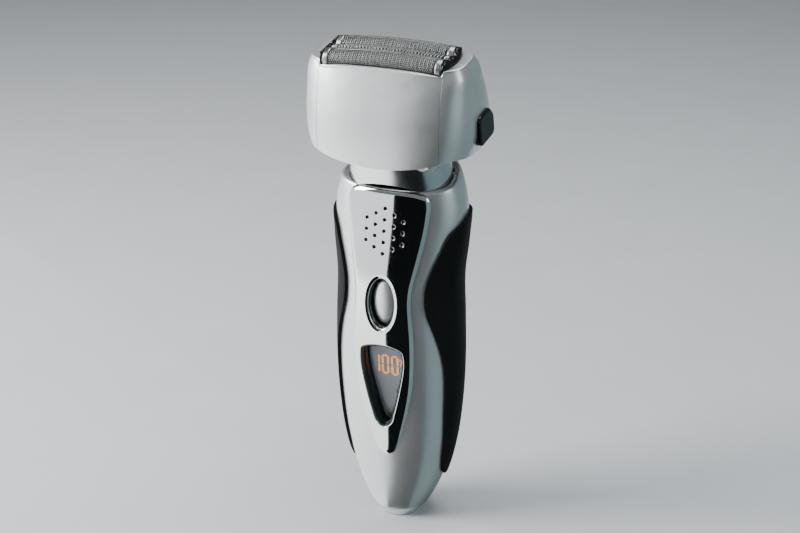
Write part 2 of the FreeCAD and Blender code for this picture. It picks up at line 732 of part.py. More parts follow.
def make_release_button():
    """Push button in the right end of the head, with a retaining foot inside."""
    inside = head_solid(HEAD_WALL + 1.4)
    cap = release_prism().common(box(18, RELEASE_FACE_X, -20, 20, 0, 40)).cut(inside)
    rim = [e for e in cap.Edges if e.BoundBox.XMin > RELEASE_FACE_X - 0.01]
    cap = cap.makeFillet(0.6, rim)
    foot = head_solid(HEAD_WALL + 0.3).cut(inside).common(release_prism(1.2))
    return fuse([cap, foot])


def make_frame_halves():
    """Silver foil frame in a front and a rear shell that meet at the ends."""
    shell = head_solid().common(under_lips())
    hollow = head_solid(HEAD_WALL).common(box(-60, 60, -60, 60, 0, 33.4))
    shell = shell.cut(hollow).cut(opening_prism())
    shell = shell.common(above_skirt())
    hole = release_prism(RELEASE_GAP)
    shell = shell.cut(hole).cut(mirrored(hole))
    ahead = box(-60, 60, -60, 0, -60, 60)
    ahead.rotate(V(0, 0, 0), X_AXIS, HEAD_SEAM_LEAN)
    ahead.translate(HEAD_SEAM)
    return shell.common(ahead), shell.cut(ahead)


def make_cassette():
    """Black frame that carries the three foils, with raised rounded ends."""
    top = CASSETTE_TOP_Z
    low, sill = CASSETTE_Z
    gap = FOIL_HALF_LENGTH + 0.3
    ends = opening_prism(0.1, low, top).cut(sym_box(gap, 30, 0, 50))
    crown = [sym_box(30, 8.3, 20, 34.6)]
    for y in (-FOIL_Y, FOIL_Y):
        crown.append(rod(FOIL_R, V(-30, y, top - FOIL_R), V(30, y, top - FOIL_R)))
    radius, height = CASSETTE_CROWN
    crown.append(rod(radius, V(-30, 0, height), V(30, 0, height)))
    ends = ends.common(fuse(crown))
    barrel = [rod(CASSETTE_END_R, V(side * CASSETTE_END_X, -20, CASSETTE_END_Z),
                  V(side * CASSETTE_END_X, 20, CASSETTE_END_Z)) for side in (-1, 1)]
    ends = ends.common(fuse(barrel + [sym_box(30, 20, 20, 34.0)]))
    rails = [sym_box(OPENING_BOW - 1.2, 0.35, low, sill, side * 8.75) for side in (-1, 1)]
    feet = [box(x - 0.5, x + 0.5, -9.1, 9.1, low, sill)
            for x in (-CASSETTE_CLIP_X, CASSETTE_CLIP_X)]
    return fuse([ends] + rails + feet)


def arch(face):
    """Turn a cross-section about the foils' bow axis to a strip bowed along its length."""
    angle = math.degrees(math.asin(FOIL_HALF_LENGTH / FOIL_ARCH_R))
    centre = V(0, 0, FOIL_CROWN_Z - FOIL_ARCH_R)
    start = face.copy()
    start.rotate(centre, Y_AXIS, -angle)
    return start.revolve(centre, Y_AXIS, 2 * angle)


def bow_drop(x):
    """How far the bowed line lies below its middle at x."""
    return FOIL_ARCH_R - math.sqrt(FOIL_ARCH_R ** 2 - x ** 2)


def arch_profile(y, radius, crown, foot, x=0.0):
    """Face bounded by a round top and straight sides, across the foils."""
    shoulder = crown - radius
    points = [V(x, y + radius, shoulder), V(x, y, crown), V(x, y - radius, shoulder)]
    edges = [
        Part.Arc(*points).toShape(),
        Part.makeLine(points[2], V(x, y - radius, foot)),
        Part.makeLine(V(x, y - radius, foot), V(x, y + radius, foot)),
        Part.makeLine(V(x, y + radius, foot), points[0]),
    ]
    return Part.Face(Part.Wire(edges))


def make_outer_foil(y):
    """Arched foil over one outer cutter."""
    outer = arch_profile(y, FOIL_R, FOIL_CROWN_Z, FOIL_SKIRT_Z)
    inner = arch_profile(y, FOIL_R - FOIL_THICK, FOIL_CROWN_Z - FOIL_THICK, FOIL_SKIRT_Z - 1)
    return arch(outer.cut(inner).Faces[0])


def make_slit_foil():
    """Narrow square-topped foil between the two arched ones."""
    w, top, foot, t = SLIT_HALF_WIDTH, SLIT_CROWN_Z, FOIL_SKIRT_Z, FOIL_THICK + 0.05
    points = [
        V(0, -w, foot), V(0, -w, top - 0.5), V(0, -w + 0.4, top), V(0, w - 0.4, top),
        V(0, w, top - 0.5), V(0, w, foot), V(0, w - t, foot), V(0, w - t, top - 0.6),
        V(0, w - t - 0.25, top - t), V(0, -w + t + 0.25, top - t),
        V(0, -w + t, top - 0.6), V(0, -w + t, foot),
    ]
    return arch(Part.Face(polygon(points)))


def make_inner_blades(y):
    """Row of thin arched cutters under an outer foil."""
    radius = FOIL_R - FOIL_THICK - BLADE_GAP
    blades = []
    for k in range(BLADE_COUNT):
        x = BLADE_HALF_LENGTH * (2 * k / (BLADE_COUNT - 1) - 1)
        crown = FOIL_CROWN_Z - FOIL_THICK - BLADE_GAP - bow_drop(abs(x) + STROKE)
        outer = arch_profile(y, radius, crown, BLADE_FOOT_Z, x - BLADE_THICK / 2)
        blades.append(outer.extrude(V(BLADE_THICK, 0, 0)))
    return blades


def make_blade_holder(y):
    """Carrier that joins the cutters and sits on its drive pin."""
    half = BLADE_HALF_LENGTH + HOLDER_END
    holder = rounded_block(-half, half, y - HOLDER_HALF_Y, y + HOLDER_HALF_Y,
                           HOLDER_Z, BLADE_FOOT_Z, 0.8, Z_AXIS)
    return holder.cut(rod(PIN_R + PIN_GAP, V(0, y, HOLDER_Z - 0.4), V(0, y, HOLDER_Z + 2.2)))


def make_slit_cutter():
    """Comb of teeth under the slit foil, on its own carrier."""
    half = SLIT_HALF_WIDTH - FOIL_THICK - BLADE_GAP - 0.05
    teeth = []
    for k in range(BLADE_COUNT):
        x = BLADE_HALF_LENGTH * (2 * k / (BLADE_COUNT - 1) - 1)
        crown = SLIT_CROWN_Z - FOIL_THICK - BLADE_GAP - bow_drop(abs(x) + STROKE) - 0.05
        teeth.append(box(x - CUTTER_THICK / 2, x + CUTTER_THICK / 2, -half, half,
                         BLADE_FOOT_Z, crown))
    return teeth


def make_slit_holder():
    """Bar under the slit cutter's teeth, with a hub for its drive pin."""
    radius, foot, top = SLIT_HUB
    bar = sym_box(BLADE_HALF_LENGTH + HOLDER_END, 0.6, top, BLADE_FOOT_Z)
    hub = rod(radius, V(0, 0, foot), V(0, 0, top))
    bore = rod(PIN_R + PIN_GAP, V(0, 0, foot - 1.4), V(0, 0, top + 0.3))
    return fuse([bar, hub]).cut(bore)


def upright_block(half, z0, z1, radius, y=0.0):
    """Block with rounded upright edges, centred on x = 0."""
    return rounded_block(-half[0], half[0], y - half[1], y + half[1], z0, z1, radius, Z_AXIS)


def make_head_base():
    """Black chassis of the head: a tray for the motor with a tongue on the pivot."""
    low, high = TRAY_Z
    tray = upright_block(TRAY_HALF, low, high, 3.0)
    room = (TRAY_HALF[0] - TRAY_WALL[0], TRAY_HALF[1] - TRAY_WALL[1])
    tray = tray.cut(upright_block(room, low + TRAY_FLOOR, high + 1, 2.0))
    x, y = TONGUE_HALF
    tongue = rounded_block(-x, x, -y, y, *TONGUE_Z, 1.5, Y_AXIS)
    return fuse([tray, tongue]).cut(rod(BUSH_R, V(0, -10, 0), V(0, 10, 0)))


def drive_slots():
    """Bars through the lid where the three drive pins move."""
    return [upright_block(SLOT_HALF, TRAY_Z[1] - 2, SEAL_TOP_Z + 1.8, 1.25, y)
            for y in (-FOIL_Y, 0, FOIL_Y)]


def make_head_cover():
    """Lid over the motor, with slots for the drive pins."""
    lid = upright_block(TRAY_HALF, TRAY_Z[1], LID_TOP_Z, 3.0)
    for slot in drive_slots():
        lid = lid.cut(slot)
    return lid


def make_drive_seals():
    """Rubber rings round the drive slots, on top of the lid."""
    return [upright_block(SEAL_HALF, LID_TOP_Z, SEAL_TOP_Z, 1.8, y).cut(slot)
            for y, slot in zip((-FOIL_Y, 0, FOIL_Y), drive_slots())]


def make_motor():
    """Linear motor: laminated core, coil, two movers in antiphase and their magnets."""
    parts = {}
    foot, yoke, top = CORE_Z
    core = sym_box(*CORE_HALF, foot, yoke)
    legs = [box(x - CORE_LEG_HALF, x + CORE_LEG_HALF, -CORE_HALF[1], CORE_HALF[1], yoke, top)
            for x in (-CORE_LEG_X, 0, CORE_LEG_X)]
    parts["motor_core"] = [fuse([core] + legs)]
    coil = sym_box(*COIL_HALF, *COIL_Z).cut(sym_box(CORE_LEG_HALF, CORE_HALF[1], 10, 20))
    parts["motor_coil"] = [coil]

    low, high = MOVER_Z
    bar_x, bar_y = MOVER_BAR
    rails = [sym_box(*OUTER_MOVER, low, high, y) for y in (-FOIL_Y, FOIL_Y)]
    bars = [box(x - 1, x + 1, -bar_y, bar_y, low, high) for x in (-bar_x, bar_x)]
    parts["outer_mover"] = [fuse(rails + bars)]
    parts["outer_drive_pins"] = [rod(PIN_R, V(0, y, high), V(0, y, OUTER_PIN_TOP_Z))
                                 for y in (-FOIL_Y, FOIL_Y)]
    parts["slit_mover"] = [sym_box(*SLIT_MOVER, low, high)]
    parts["slit_drive_pin"] = [rod(PIN_R, V(0, 0, high), V(0, 0, SLIT_PIN_TOP_Z))]

    def magnet(x, half_y, y=0.0):
        return box(x - MAGNET_HALF_X, x + MAGNET_HALF_X, y - half_y, y + half_y,
                   MAGNET_FOOT_Z, low)

    place, half = OUTER_MAGNET
    parts["outer_magnets"] = [magnet(x, half, y) for y in (-FOIL_Y, FOIL_Y)
                              for x in (-place, place)]
    place, half = SLIT_MAGNET
    parts["slit_magnets"] = [magnet(x, half) for x in (-place, place)]
    return parts


def spring_turns(spring, y=0.0):
    """Turns of an upright coil spring, drawn as separate rings."""
    radius, wire, foot, turns, pitch = spring
    return [Part.makeTorus(radius, wire, V(0, y, foot + k * pitch), Z_AXIS)
            for k in range(turns)]


# ---------------------------------------------------------------- trimmer parts
def trimmer_shell(grow):
    """Solid under a curved back surface that stands proud of the rear housing."""
    wires = []
    for z, half_width, front, back in HANDLE_STATIONS[7:12]:
        wires.append(section(z, half_width + grow, front, back + grow, HOUSING_CURVE))
    return Part.makeLoft(wires, True, False)


def make_trimmer():
    """Rail plate, sliding carriage with thumb ridges, and the two combs."""
    low, high = TRIMMER_Z
    half = TRIMMER_HALF_X
    rail = box(-half - 0.3, half + 0.3, RAIL_Y, RAIL_Y + RAIL_THICK, low - 1.4, 126)
    rail = rail.common(skin(HOUSING_DROP, 0.4)).cut(above_rim(-0.6))
    groove_x, groove_y = RAIL_GROOVE
    rail = rail.cut(box(-groove_x, groove_x, groove_y, 20, low - 0.2, 120))
    body = box(-half, half, TRIMMER_Y, 30, low, high).common(trimmer_shell(TRIMMER_PROUD))
    runner_x, runner_y = RUNNER
    runner = box(-runner_x, runner_x, runner_y, TRIMMER_Y + 0.25, low + 0.4, high - 12)
    ridges = []
    for z0, z1, back in RIDGES:
        ridge = rounded_block(-RIDGE_HALF_X, RIDGE_HALF_X, TRIMMER_Y + 0.85, back, z0, z1,
                              1.2, X_AXIS)
        ridges.append(round_edges(ridge, 1.2, lambda e: along_axis(e, Z_AXIS)))
    pocket = box(-12, 12, 14.9, 16.9, high - 6, high + 1)
    carriage = fuse([body, runner] + ridges).cut(pocket)
    fixed = comb(high - 6.0, high + 2.0, 16.0, 16.9, 11.4)
    moving = comb(high - 4.4, high + 1.5, 15.05, 15.75, 10.6)
    return rail, carriage, fixed, moving


def comb(z0, z1, y0, y1, half):
    """Flat comb with teeth along its upper edge."""
    plate = box(-half, half, y0, y1, z0, z1)
    count = int(2 * half / COMB_PITCH)
    gaps = []
    for k in range(count):
        x = (k - (count - 1) / 2) * COMB_PITCH
        gaps.append(box(x - COMB_GAP / 2, x + COMB_GAP / 2, y0 - 1, y1 + 1,
                        z1 - COMB_TOOTH, z1 + 1))
    return plate.cut(Part.makeCompound(gaps))


# ---------------------------------------------------------------- assembly
def main():
    os.makedirs("parts", exist_ok=True)

    grip_right = make_grip().cut(trimmer_bay())
    grip_left = mirrored(grip_right)
    front, rear, posts = make_housings([grip_right, grip_left])
    save("front_housing", [front])
    save("housing_posts", posts)
    save("rear_housing", [rear])
    save("grip_right", [grip_right])
    save("grip_left", [grip_left])
    save("front_panel", [make_panel()])
    save("button_well", [make_well()])
    save("power_button", [make_power_button()])
    bezel, bezel_base, glass, module = make_window_parts()
    save("display_bezel", [bezel])
    save("display_frame", [bezel_base])
    save("display_window", [glass])
    save("display_module", [module])
    for name, shapes in make_inside().items():
        save(name, shapes)
    block, pins, seal = make_inlet()
    save("charging_inlet", [block])
    save("inlet_pins", pins)
    save("inlet_seal", [seal])
    save("housing_screws", make_screws())

    neck = make_neck()
    save("neck_cover", [neck])
    save("neck_nubs", make_neck_balls(neck))
    save("pivot_pin", [placed(rod(PIVOT_R, V(0, -PIVOT_HALF, 0), V(0, PIVOT_HALF, 0)))])
    bushes = []
    for side in (-1, 1):
        bush = rod(BUSH_R, V(0, side * 2.0, 0), V(0, side * 5.0, 0))
        bushes.append(placed(bush.cut(rod(PIVOT_R + 0.05, V(0, -10, 0), V(0, 10, 0)))))
    save("pivot_bushes", bushes)

    save("head_base", [placed(make_head_base())])
    save("head_cover", [placed(make_head_cover())])
    save("drive_seals", [placed(s) for s in make_drive_seals()])
    for name, shapes in make_motor().items():
        save(name, [placed(s) for s in shapes])

    for name, y in (("front", -FOIL_Y), ("rear", FOIL_Y)):
        save("outer_foil_" + name, [placed(make_outer_foil(y))])
        save("inner_blades_" + name, [placed(s) for s in make_inner_blades(y)])
        save("blade_holder_" + name, [placed(make_blade_holder(y))])
        save("blade_spring_" + name, [placed(s) for s in spring_turns(BLADE_SPRING, y)])
    save("slit_foil", [placed(make_slit_foil())])
    save("slit_cutter", [placed(s) for s in make_slit_cutter()])
    save("slit_cutter_holder", [placed(make_slit_holder())])
    save("slit_spring", [placed(s) for s in spring_turns(SLIT_SPRING)])

    frame_front, frame_rear = make_frame_halves()
    save("foil_frame_front", [placed(frame_front)])
    save("foil_frame_rear", [placed(frame_rear)])
    save("foil_cassette", [placed(make_cassette())])
    release = make_release_button()
    save("release_button_right", [placed(release)])
    save("release_button_left", [placed(mirrored(release))])

    rail, carriage, fixed, moving = make_trimmer()
    save("trimmer_rail", [rail])
    save("trimmer_carriage", [carriage])
    save("trimmer_comb", [fixed])
    save("trimmer_cutter", [moving])


main()
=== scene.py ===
"""Looks of the cordless foil shaver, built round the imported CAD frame.

Shapes are worked out in millimetres and turned into metres when a mesh is made.
"""
import json
import math
from contextlib import contextmanager

import bmesh
import bpy
import numpy as np
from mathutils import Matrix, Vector
from mathutils.geometry import delaunay_2d_cdt


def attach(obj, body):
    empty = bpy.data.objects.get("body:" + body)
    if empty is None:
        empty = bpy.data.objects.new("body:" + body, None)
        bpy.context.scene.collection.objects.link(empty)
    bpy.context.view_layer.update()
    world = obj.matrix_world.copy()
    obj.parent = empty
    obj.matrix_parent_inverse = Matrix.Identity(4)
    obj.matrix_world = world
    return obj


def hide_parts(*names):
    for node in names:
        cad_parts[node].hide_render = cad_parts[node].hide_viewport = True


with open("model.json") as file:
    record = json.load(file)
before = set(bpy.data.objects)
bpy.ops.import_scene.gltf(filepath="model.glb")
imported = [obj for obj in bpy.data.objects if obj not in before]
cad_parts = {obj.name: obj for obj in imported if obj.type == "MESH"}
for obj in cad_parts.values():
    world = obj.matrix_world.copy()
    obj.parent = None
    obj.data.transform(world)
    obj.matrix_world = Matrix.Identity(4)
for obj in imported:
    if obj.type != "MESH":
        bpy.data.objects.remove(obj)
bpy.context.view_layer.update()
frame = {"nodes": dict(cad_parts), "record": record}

MM = 0.001

# ---------------------------------------------------------------- driving dimensions
# Handle stations: height, half width, front depth, back depth.
HANDLE_STATIONS = np.array([
    (0, 5.4, 7.6, 9.0),
    (3, 8.6, 8.8, 11.0),
    (8, 11.6, 10.0, 12.5),
    (16, 14.9, 11.0, 13.5),
    (28, 17.9, 12.5, 14.4),
    (42, 19.6, 14.2, 15.2),
    (58, 20.2, 15.5, 15.7),
    (72, 19.9, 16.2, 15.9),
    (86, 19.6, 15.6, 15.7),
    (98, 21.0, 13.6, 15.7),
    (110, 21.5, 11.8, 16.3),
    (118, 19.4, 10.6, 16.6),
    (127, 14.5, 9.0, 15.5),
])
BACK_CURVE = 2.35
HOUSING_CURVE = 2.3
PANEL_CURVE = 2.35
PANEL_SHARE_LIMIT = 0.98  # of the half width, past which the panel's surface isn't used
HOUSING_DROP = 0.9
RIM_FRONT_Z = 114.5
RIM_FRONT_Y = -12.0
RIM_SLOPE = math.tan(math.radians(17.0))
SPLIT_Y = 4.5
SEAM_GAP = 0.09
SEAM_TUCK = (1.2, 0.2, 0.07, 0.015)  # how far the shells' edges turn in at the seam
# Foot: height and width of its round edge.
FOOT_ROUND = 0.8
FOOT_PULL = 0.9
# Rim: where the side's even rows end, the height its angles and its first guess come from,
# its round edge, then how far it dips and how wide it stays towards the neck.
SIDE_TOP_Z = 104.0
RIM_ANGLE_Z = 110.0
RIM_START_Z = 116.0
RIM_ROUND = 0.9
RIM_NECK_DROP = 1.2
RIM_DIP = 0.45
RIM_LEAST = 0.2
NECK_GAP = 0.3
# Bay of the trimmer in the rear housing: half width, depth coordinate of its floor and
# height of its lower end. Its planes cut edges to CUT_DISTANCE and find them to BAY_SNAP.
BAY_HALF_X = 13.8
BAY_Y = 11.4
BAY_Z = 76.5
BAY_SNAP = 0.01
CUT_DISTANCE = 0.0001

PANEL_OUTLINE = [
    (24.9, 0.0), (26.2, 2.5), (29.0, 4.0), (34, 5.5), (40, 7.2), (46, 8.6), (52, 9.6),
    (60, 10.15), (68, 10.2), (74, 9.8), (80, 9.4), (85, 9.7), (90, 10.7), (96, 11.9),
    (102, 13.0), (108, 13.7), (112.0, 13.7), (114.2, 12.6), (115.1, 10.2), (115.4, 0.0),
]
PANEL_THICK = 2.3
PANEL_SPREAD = 0.35
PANEL_OVERLAP = 0.9  # how far the front shell reaches under the panel
PANEL_TAPER = 0.05
PANEL_ROLL = (2.1, 1.25)

GRIP_FRONT = [
    (4.0, 15.2), (-1.0, 16.6), (-3.4, 20.6), (-5.3, 31.8), (-6.4, 41.0), (-6.9, 49.0),
    (-7.5, 56.0), (-8.6, 62.0), (-10.3, 68.8), (-11.8, 75.4), (-12.1, 80.6), (-11.6, 86.0),
    (-10.3, 91.4), (-8.6, 96.6), (-6.2, 102.4), (-1.2, 105.8), (5.0, 107.2),
]
GRIP_BACK_X = 9.9
GRIP_BACK_Z = (17.0, 106.8)
GRIP_PROUD = 0.25
GRIP_THICK = 0.9
GRIP_EDGE = 0.3

DIMPLE_COLUMNS = (3, 4, 5, 4, 3)
DIMPLE_PITCH = (3.07, 3.55)
DIMPLE_Z = 102.6
DIMPLE_R = 0.74
DIMPLE_DEPTH = 0.8
DIMPLE_EDGE = 0.16
DIMPLE_POINTS = 24

BUTTON_Z = 79.2
WELL_HALF = (5.25, 9.1)
BUTTON_HALF = (3.5, 7.25)
WELL_FLARE = (1.5, 0.75)
WELL_DEPTH = 3.9
WELL_POINTS = 90
BUTTON_GAP = 0.3
BUTTON_EDGE_DEPTH = 3.35
BUTTON_SKIRT = 2.15
BUTTON_DOME = 1.5
BUTTON_DOME_CURVE = 0.9
BUTTON_CLOSE = 0.995  # share of its size that the dome closes over

WINDOW_POINTS = [
    (0.0, 35.6), (2.5, 37.4), (3.7, 41.0), (5.75, 49.0), (7.3, 57.5), (7.4, 61.0),
    (6.9, 63.4), (5.2, 64.4), (0.0, 65.3),
]
WINDOW_ROLL = (0.35, 0.28)
# Shrink and depth of the bezel's rings, under the panel and then from the glass's front.
BEZEL_STEPS = ((0.0, 2.2), (0.0, 0.5), (0.06, 0.34), (0.22, 0.28), (0.40, 0.34), (0.48, 0.5),
               (0.55, 1.55), (0.62, 1.66), (0.95, 1.72), (1.05, 1.85))
BEZEL_FOOT = ((1.2, -0.25), (1.25, 0.0), (1.25, 0.9))
PANE_INSET = 1.2
PANE_THICK = 0.8
FACE_INSET = 0.6
FACE_DEPTH = 1.05
DIGIT_DEPTHS = (0.98, 1.06)
GLASS_DEPTH = 4.5
DISPLAY_TILT = math.tan(math.radians(4.6))
DISPLAY_Z = 50.0

# Lit digits: size, gap at a segment's ends, places along x, and the percent sign.
DIGIT_WIDTH = 2.55
DIGIT_HEIGHT = 7.0
DIGIT_STROKE = 0.62
DIGIT_GAP = 0.12
DIGIT_PLACES = (-4.1, -0.9, 2.45)
DIGITS_AT = (-0.95, 53.2)
PERCENT_DOTS = ((5.35, 5.4), (6.15, 3.6))
PERCENT_DOT = (0.32, 0.42)
PERCENT_BAR = (5.3, 3.3, 6.2, 5.7)

SOCKET_Y = 4.0
SOCKET_HALF = (3.6, 2.6)
SOCKET_CURVE = 5
SOCKET_DEPTH = 6.8

HEAD_ORIGIN = np.array([0.0, 0.0, 122.0])
HEAD_TILT = math.radians(12.0)
# Head shell stations in the head's own frame: height, half width, front depth, back depth.
HEAD_STATIONS = np.array([
    (2.0, 23.6, 19.2, 20.6),
    (5.0, 24.9, 18.9, 20.3),
    (12.0, 27.1, 18.0, 19.4),
    (20.0, 27.5, 16.1, 17.5),
    (28.0, 27.0, 13.1, 14.5),
    (33.0, 26.6, 10.7, 12.1),
    (36.8, 24.8, 8.9, 10.3),
])
HEAD_MIDDLE_Z = 20.0
HEAD_FRONT_CURVE = 3.3
HEAD_BACK_CURVE = 3.8
LIP_Z = 34.6
LIP_ARCH = 1.2
LIP_HALF = 20.0
LIP_ROUND = 0.45
LIP_REACH = 0.45  # largest share of the way to the opening that the round edge takes
LIP_FALL = 0.12
LIP_STEP = 0.1
SHOULDER = (21.6, 36.2)
SKIRT_CENTRE_Z = 6.8
SKIRT_END = (24.0, 11.3)
SKIRT_FALL = math.tan(math.radians(16.0))
SKIRT_FRONT_Y = -18.6
SKIRT_REAR_Z = 2.6
# Turned-in hem of the skirt: shrink along x and y, and rise.
SKIRT_HEM = (((0.955, 0.94), 1.2), ((0.985, 0.98), 0.02), ((0.996, 0.995), -0.03))
HEAD_SEAM_Y = 2.0
HEAD_SEAM_Z = 19.0
HEAD_SEAM_LEAN = math.tan(math.radians(12.5))
HEAD_SEAM_GAP = 0.07
SEAM_SEARCH = 0.7  # radians either side of the head's end
GROOVE_X = 20.3
GROOVE_HALF = 0.07
GROOVE_DEPTH = 0.5
OPENING_HALF = (20.0, 8.35)
OPENING_BOW = 22.0

FOIL_HALF_LENGTH = 19.5
FOIL_ARCH_R = 190.0
FOIL_R = 3.25
FOIL_Y = 4.75
FOIL_CROWN_Z = 39.4
FOIL_SKIRT_Z = 32.6
FOIL_THICK = 0.07
FOIL_END = 1.7  # plain strip at each end
HOLES_BELOW = 2.0  # how far the holes run down past the start of the straight skirt
HOLE_PITCH = 0.66
ROW_SHARE = 0.866  # height of a row of holes, as a share of their pitch
HOLE_SHARE = 0.84
SKIRT_LAP = 0.15
END_LAP = 0.25
STRIP_LIFT = 0.012
SLIT_HALF = 1.15
SLIT_CROWN_Z = 38.6
SLIT_SHOULDER = ((0, 0.75), (0.12, 0.3), (0.4, 0.06))  # inset and fall of its round edges
SLIT_THICK = 0.12
SLIT_END = 1.6
SLIT_PITCH = 1.02
SLIT_BAR = 0.42
SLIT_SLANT = 1.25
SLIT_LAP = 0.1

RELEASE_FACE_X = 28.6
RELEASE_CORNER = 1.3
RELEASE_ROLL = (0.8, 0.8)
RELEASE_DEPTH = 3.4
CORNER_SHARE = 0.45  # largest share of a side that a round corner takes
RELEASE_OUTLINE = [
    (-0.8, 8.9), (8.0, 8.9), (9.3, 10.2), (9.3, 15.6), (6.6, 18.8), (-0.8, 18.8),
    (-2.2, 17.4), (-2.2, 10.3),
]

# Neck stations: height, half width, front, back.
NECK_STATIONS = np.array([
    (110.0, 17.0, -10.1, 10.6),
    (118.0, 16.9, -10.9, 10.4),
    (124.0, 16.0, -12.0, 9.8),
    (131.0, 14.6, -13.4, 8.6),
])
NECK_CURVE = 2.7
NECK_FRONT_CURVE = 2.05
NECK_FOOT_Z = 110.0
NECK_TOP_Z = 7.6
NECK_ROUND = 0.4
NECK_EDGE_Z = 115.0
NECK_EDGE_ARCH = 2.1
NECK_EDGE_HALF = 11.5
NECK_EDGE_Y = -8.0
SCOOP_PLACE = (13.0, -10.5, 6.2)
SCOOP_R = 4.8


# ---------------------------------------------------------------- curves and surfaces
def smooth_curve(xs, ys, x):
    """Cubic curve through the points (xs, ys), evaluated at x."""
    xs, ys, x = (np.asarray(v, float) for v in (xs, ys, x))
    slope = np.gradient(ys, xs)
    x = np.clip(x, xs[0], xs[-1])
    k = np.clip(np.searchsorted(xs, x, side="right") - 1, 0, len(xs) - 2)
    step = xs[k + 1] - xs[k]
    t = (x - xs[k]) / step
    return ((1 + 2 * t) * (1 - t) ** 2 * ys[k] + t * (1 - t) ** 2 * step * slope[k]
            + t * t * (3 - 2 * t) * ys[k + 1] + t * t * (t - 1) * step * slope[k + 1])


def path_through(points, count, closed=False):
    """Evenly spaced points on a smooth path through the given 2D points."""
    p = np.array(points, float)
    if closed:
        p = np.vstack([p[-3:], p, p[:4]])
    run = np.r_[0, np.cumsum(np.linalg.norm(np.diff(p, axis=0), axis=1) ** 0.6)]
    low, high = (run[3], run[-4]) if closed else (run[0], run[-1])
    dense = np.linspace(low, high, 40 * len(points))
    q = np.c_[smooth_curve(run, p[:, 0], dense), smooth_curve(run, p[:, 1], dense)]
    length = np.r_[0, np.cumsum(np.linalg.norm(np.diff(q, axis=0), axis=1))]
    at = np.linspace(0, length[-1], count, endpoint=not closed)
    return np.c_[np.interp(at, length, q[:, 0]), np.interp(at, length, q[:, 1])]


def mirrored_loop(half, count):
    """Closed loop, anticlockwise in (x, z), from its right half given bottom to top."""
    left = [(-x, z) for x, z in reversed(half[1:-1])]
    return path_through(list(half) + left, count, closed=True)


def sizes_at(stations, z):
    """The three sizes of a table of stations at a height."""
    return [smooth_curve(stations[:, 0], stations[:, k], z) for k in (1, 2, 3)]


def ray_length(angle, half, depth, power):
    """Distance from the centre of a superellipse to its edge at an angle."""
    across, along = np.abs(np.cos(angle)) / half, np.abs(np.sin(angle)) / depth
    return (across ** power + along ** power) ** (-1 / power)


def solve(value_at, target, low, high):
    """Argument between low and high at which a rising or falling function hits a target."""
    rising = value_at(high) > value_at(low)
    for _ in range(40):
        mid = (low + high) / 2
        beyond = (value_at(mid) > target) == rising
        high = np.where(beyond, mid, high)
        low = np.where(beyond, low, mid)
    return (low + high) / 2


def handle_point(angle, z, grow=0.0):
    """Point on the housing's surface at an angle about Z, with 0 at +X."""
    angle, z = np.broadcast_arrays(np.asarray(angle, float), np.asarray(z, float))
    half, front, back = sizes_at(HANDLE_STATIONS, z)
    behind = np.sin(angle) > 0
    power = np.where(behind, BACK_CURVE, HOUSING_CURVE)
    depth = np.where(behind, back, front - HOUSING_DROP) + grow
    r = ray_length(angle, half + grow, depth, power)
    return np.stack([r * np.cos(angle), r * np.sin(angle), z], axis=-1)


def angle_where(z, axis, value, low, high):
    """Angle between low and high at which the surface reaches a given x or y."""
    z = np.asarray(z, float)
    return solve(lambda angle: handle_point(angle, z)[..., axis], value,
                 np.full(z.shape, float(low)), np.full(z.shape, float(high)))


def front_depth(z):
    """How far the middle of the panel's surface lies in front of the handle's axis."""
    return float(sizes_at(HANDLE_STATIONS, z)[1])


def panel_y(x, z):
    """Depth coordinate of the chrome panel's surface."""
    half, front, _ = sizes_at(HANDLE_STATIONS, z)
    share = np.clip(np.abs(x) / half, 0, PANEL_SHARE_LIMIT)
    return -front * (1 - share ** PANEL_CURVE) ** (1 / PANEL_CURVE)


def on_panel(xz, depth):
    """Points at a depth under the panel's surface."""
    x, z = xz[:, 0], xz[:, 1]
    return np.c_[x, panel_y(x, z) + depth, z]


def on_display(xz, depth):
    """Points at a depth behind the display glass's front plane."""
    front = GLASS_DEPTH - front_depth(DISPLAY_Z)
    x, z = xz[:, 0], xz[:, 1]
    return np.c_[x, front + depth - (z - DISPLAY_Z) * DISPLAY_TILT, z]


def from_head(points):
    """Turns points from the head's own frame into the shaver's."""
    p = np.asarray(points, float)
    c, s = math.cos(HEAD_TILT), math.sin(HEAD_TILT)
    y, z = p[..., 1], p[..., 2]
    return np.stack([p[..., 0], y * c - z * s, y * s + z * c], axis=-1) + HEAD_ORIGIN


def bow_drop(x):
    """How far the arched foils fall from their middle to a place x."""
    return FOIL_ARCH_R - np.sqrt(FOIL_ARCH_R ** 2 - np.asarray(x) ** 2)


# ---------------------------------------------------------------- mesh building
FILL_MARGIN = 0.45  # share of a filling's step that its inner points keep from the edges


@contextmanager
def edited(mesh):
    """Editable copy of a mesh, written back at the end of the block."""
    bm = bmesh.new()
    bm.from_mesh(mesh)
    yield bm
    bm.to_mesh(mesh)
    bm.free()


def new_object(name, points, faces, material, smooth=True):
    """Mesh object from points in millimetres."""
    mesh = bpy.data.meshes.new(name)
    mesh.from_pydata([tuple(p) for p in np.asarray(points, float) * MM], [], faces)
    mesh.validate()
    mesh.update()
    for polygon in mesh.polygons:
        polygon.use_smooth = smooth
    obj = bpy.data.objects.new(name, mesh)
    bpy.context.scene.collection.objects.link(obj)
    mesh.materials.append(material)
    return obj


def grid_faces(rows, columns, closed=False, start=0):
    """Quads of a grid of points, row after row."""
    faces = []
    last = columns if closed else columns - 1
    for r in range(rows - 1):
        for c in range(last):
            a = start + r * columns + c
            b = start + r * columns + (c + 1) % columns
            faces.append((a, b, b + columns, a + columns))
    return faces


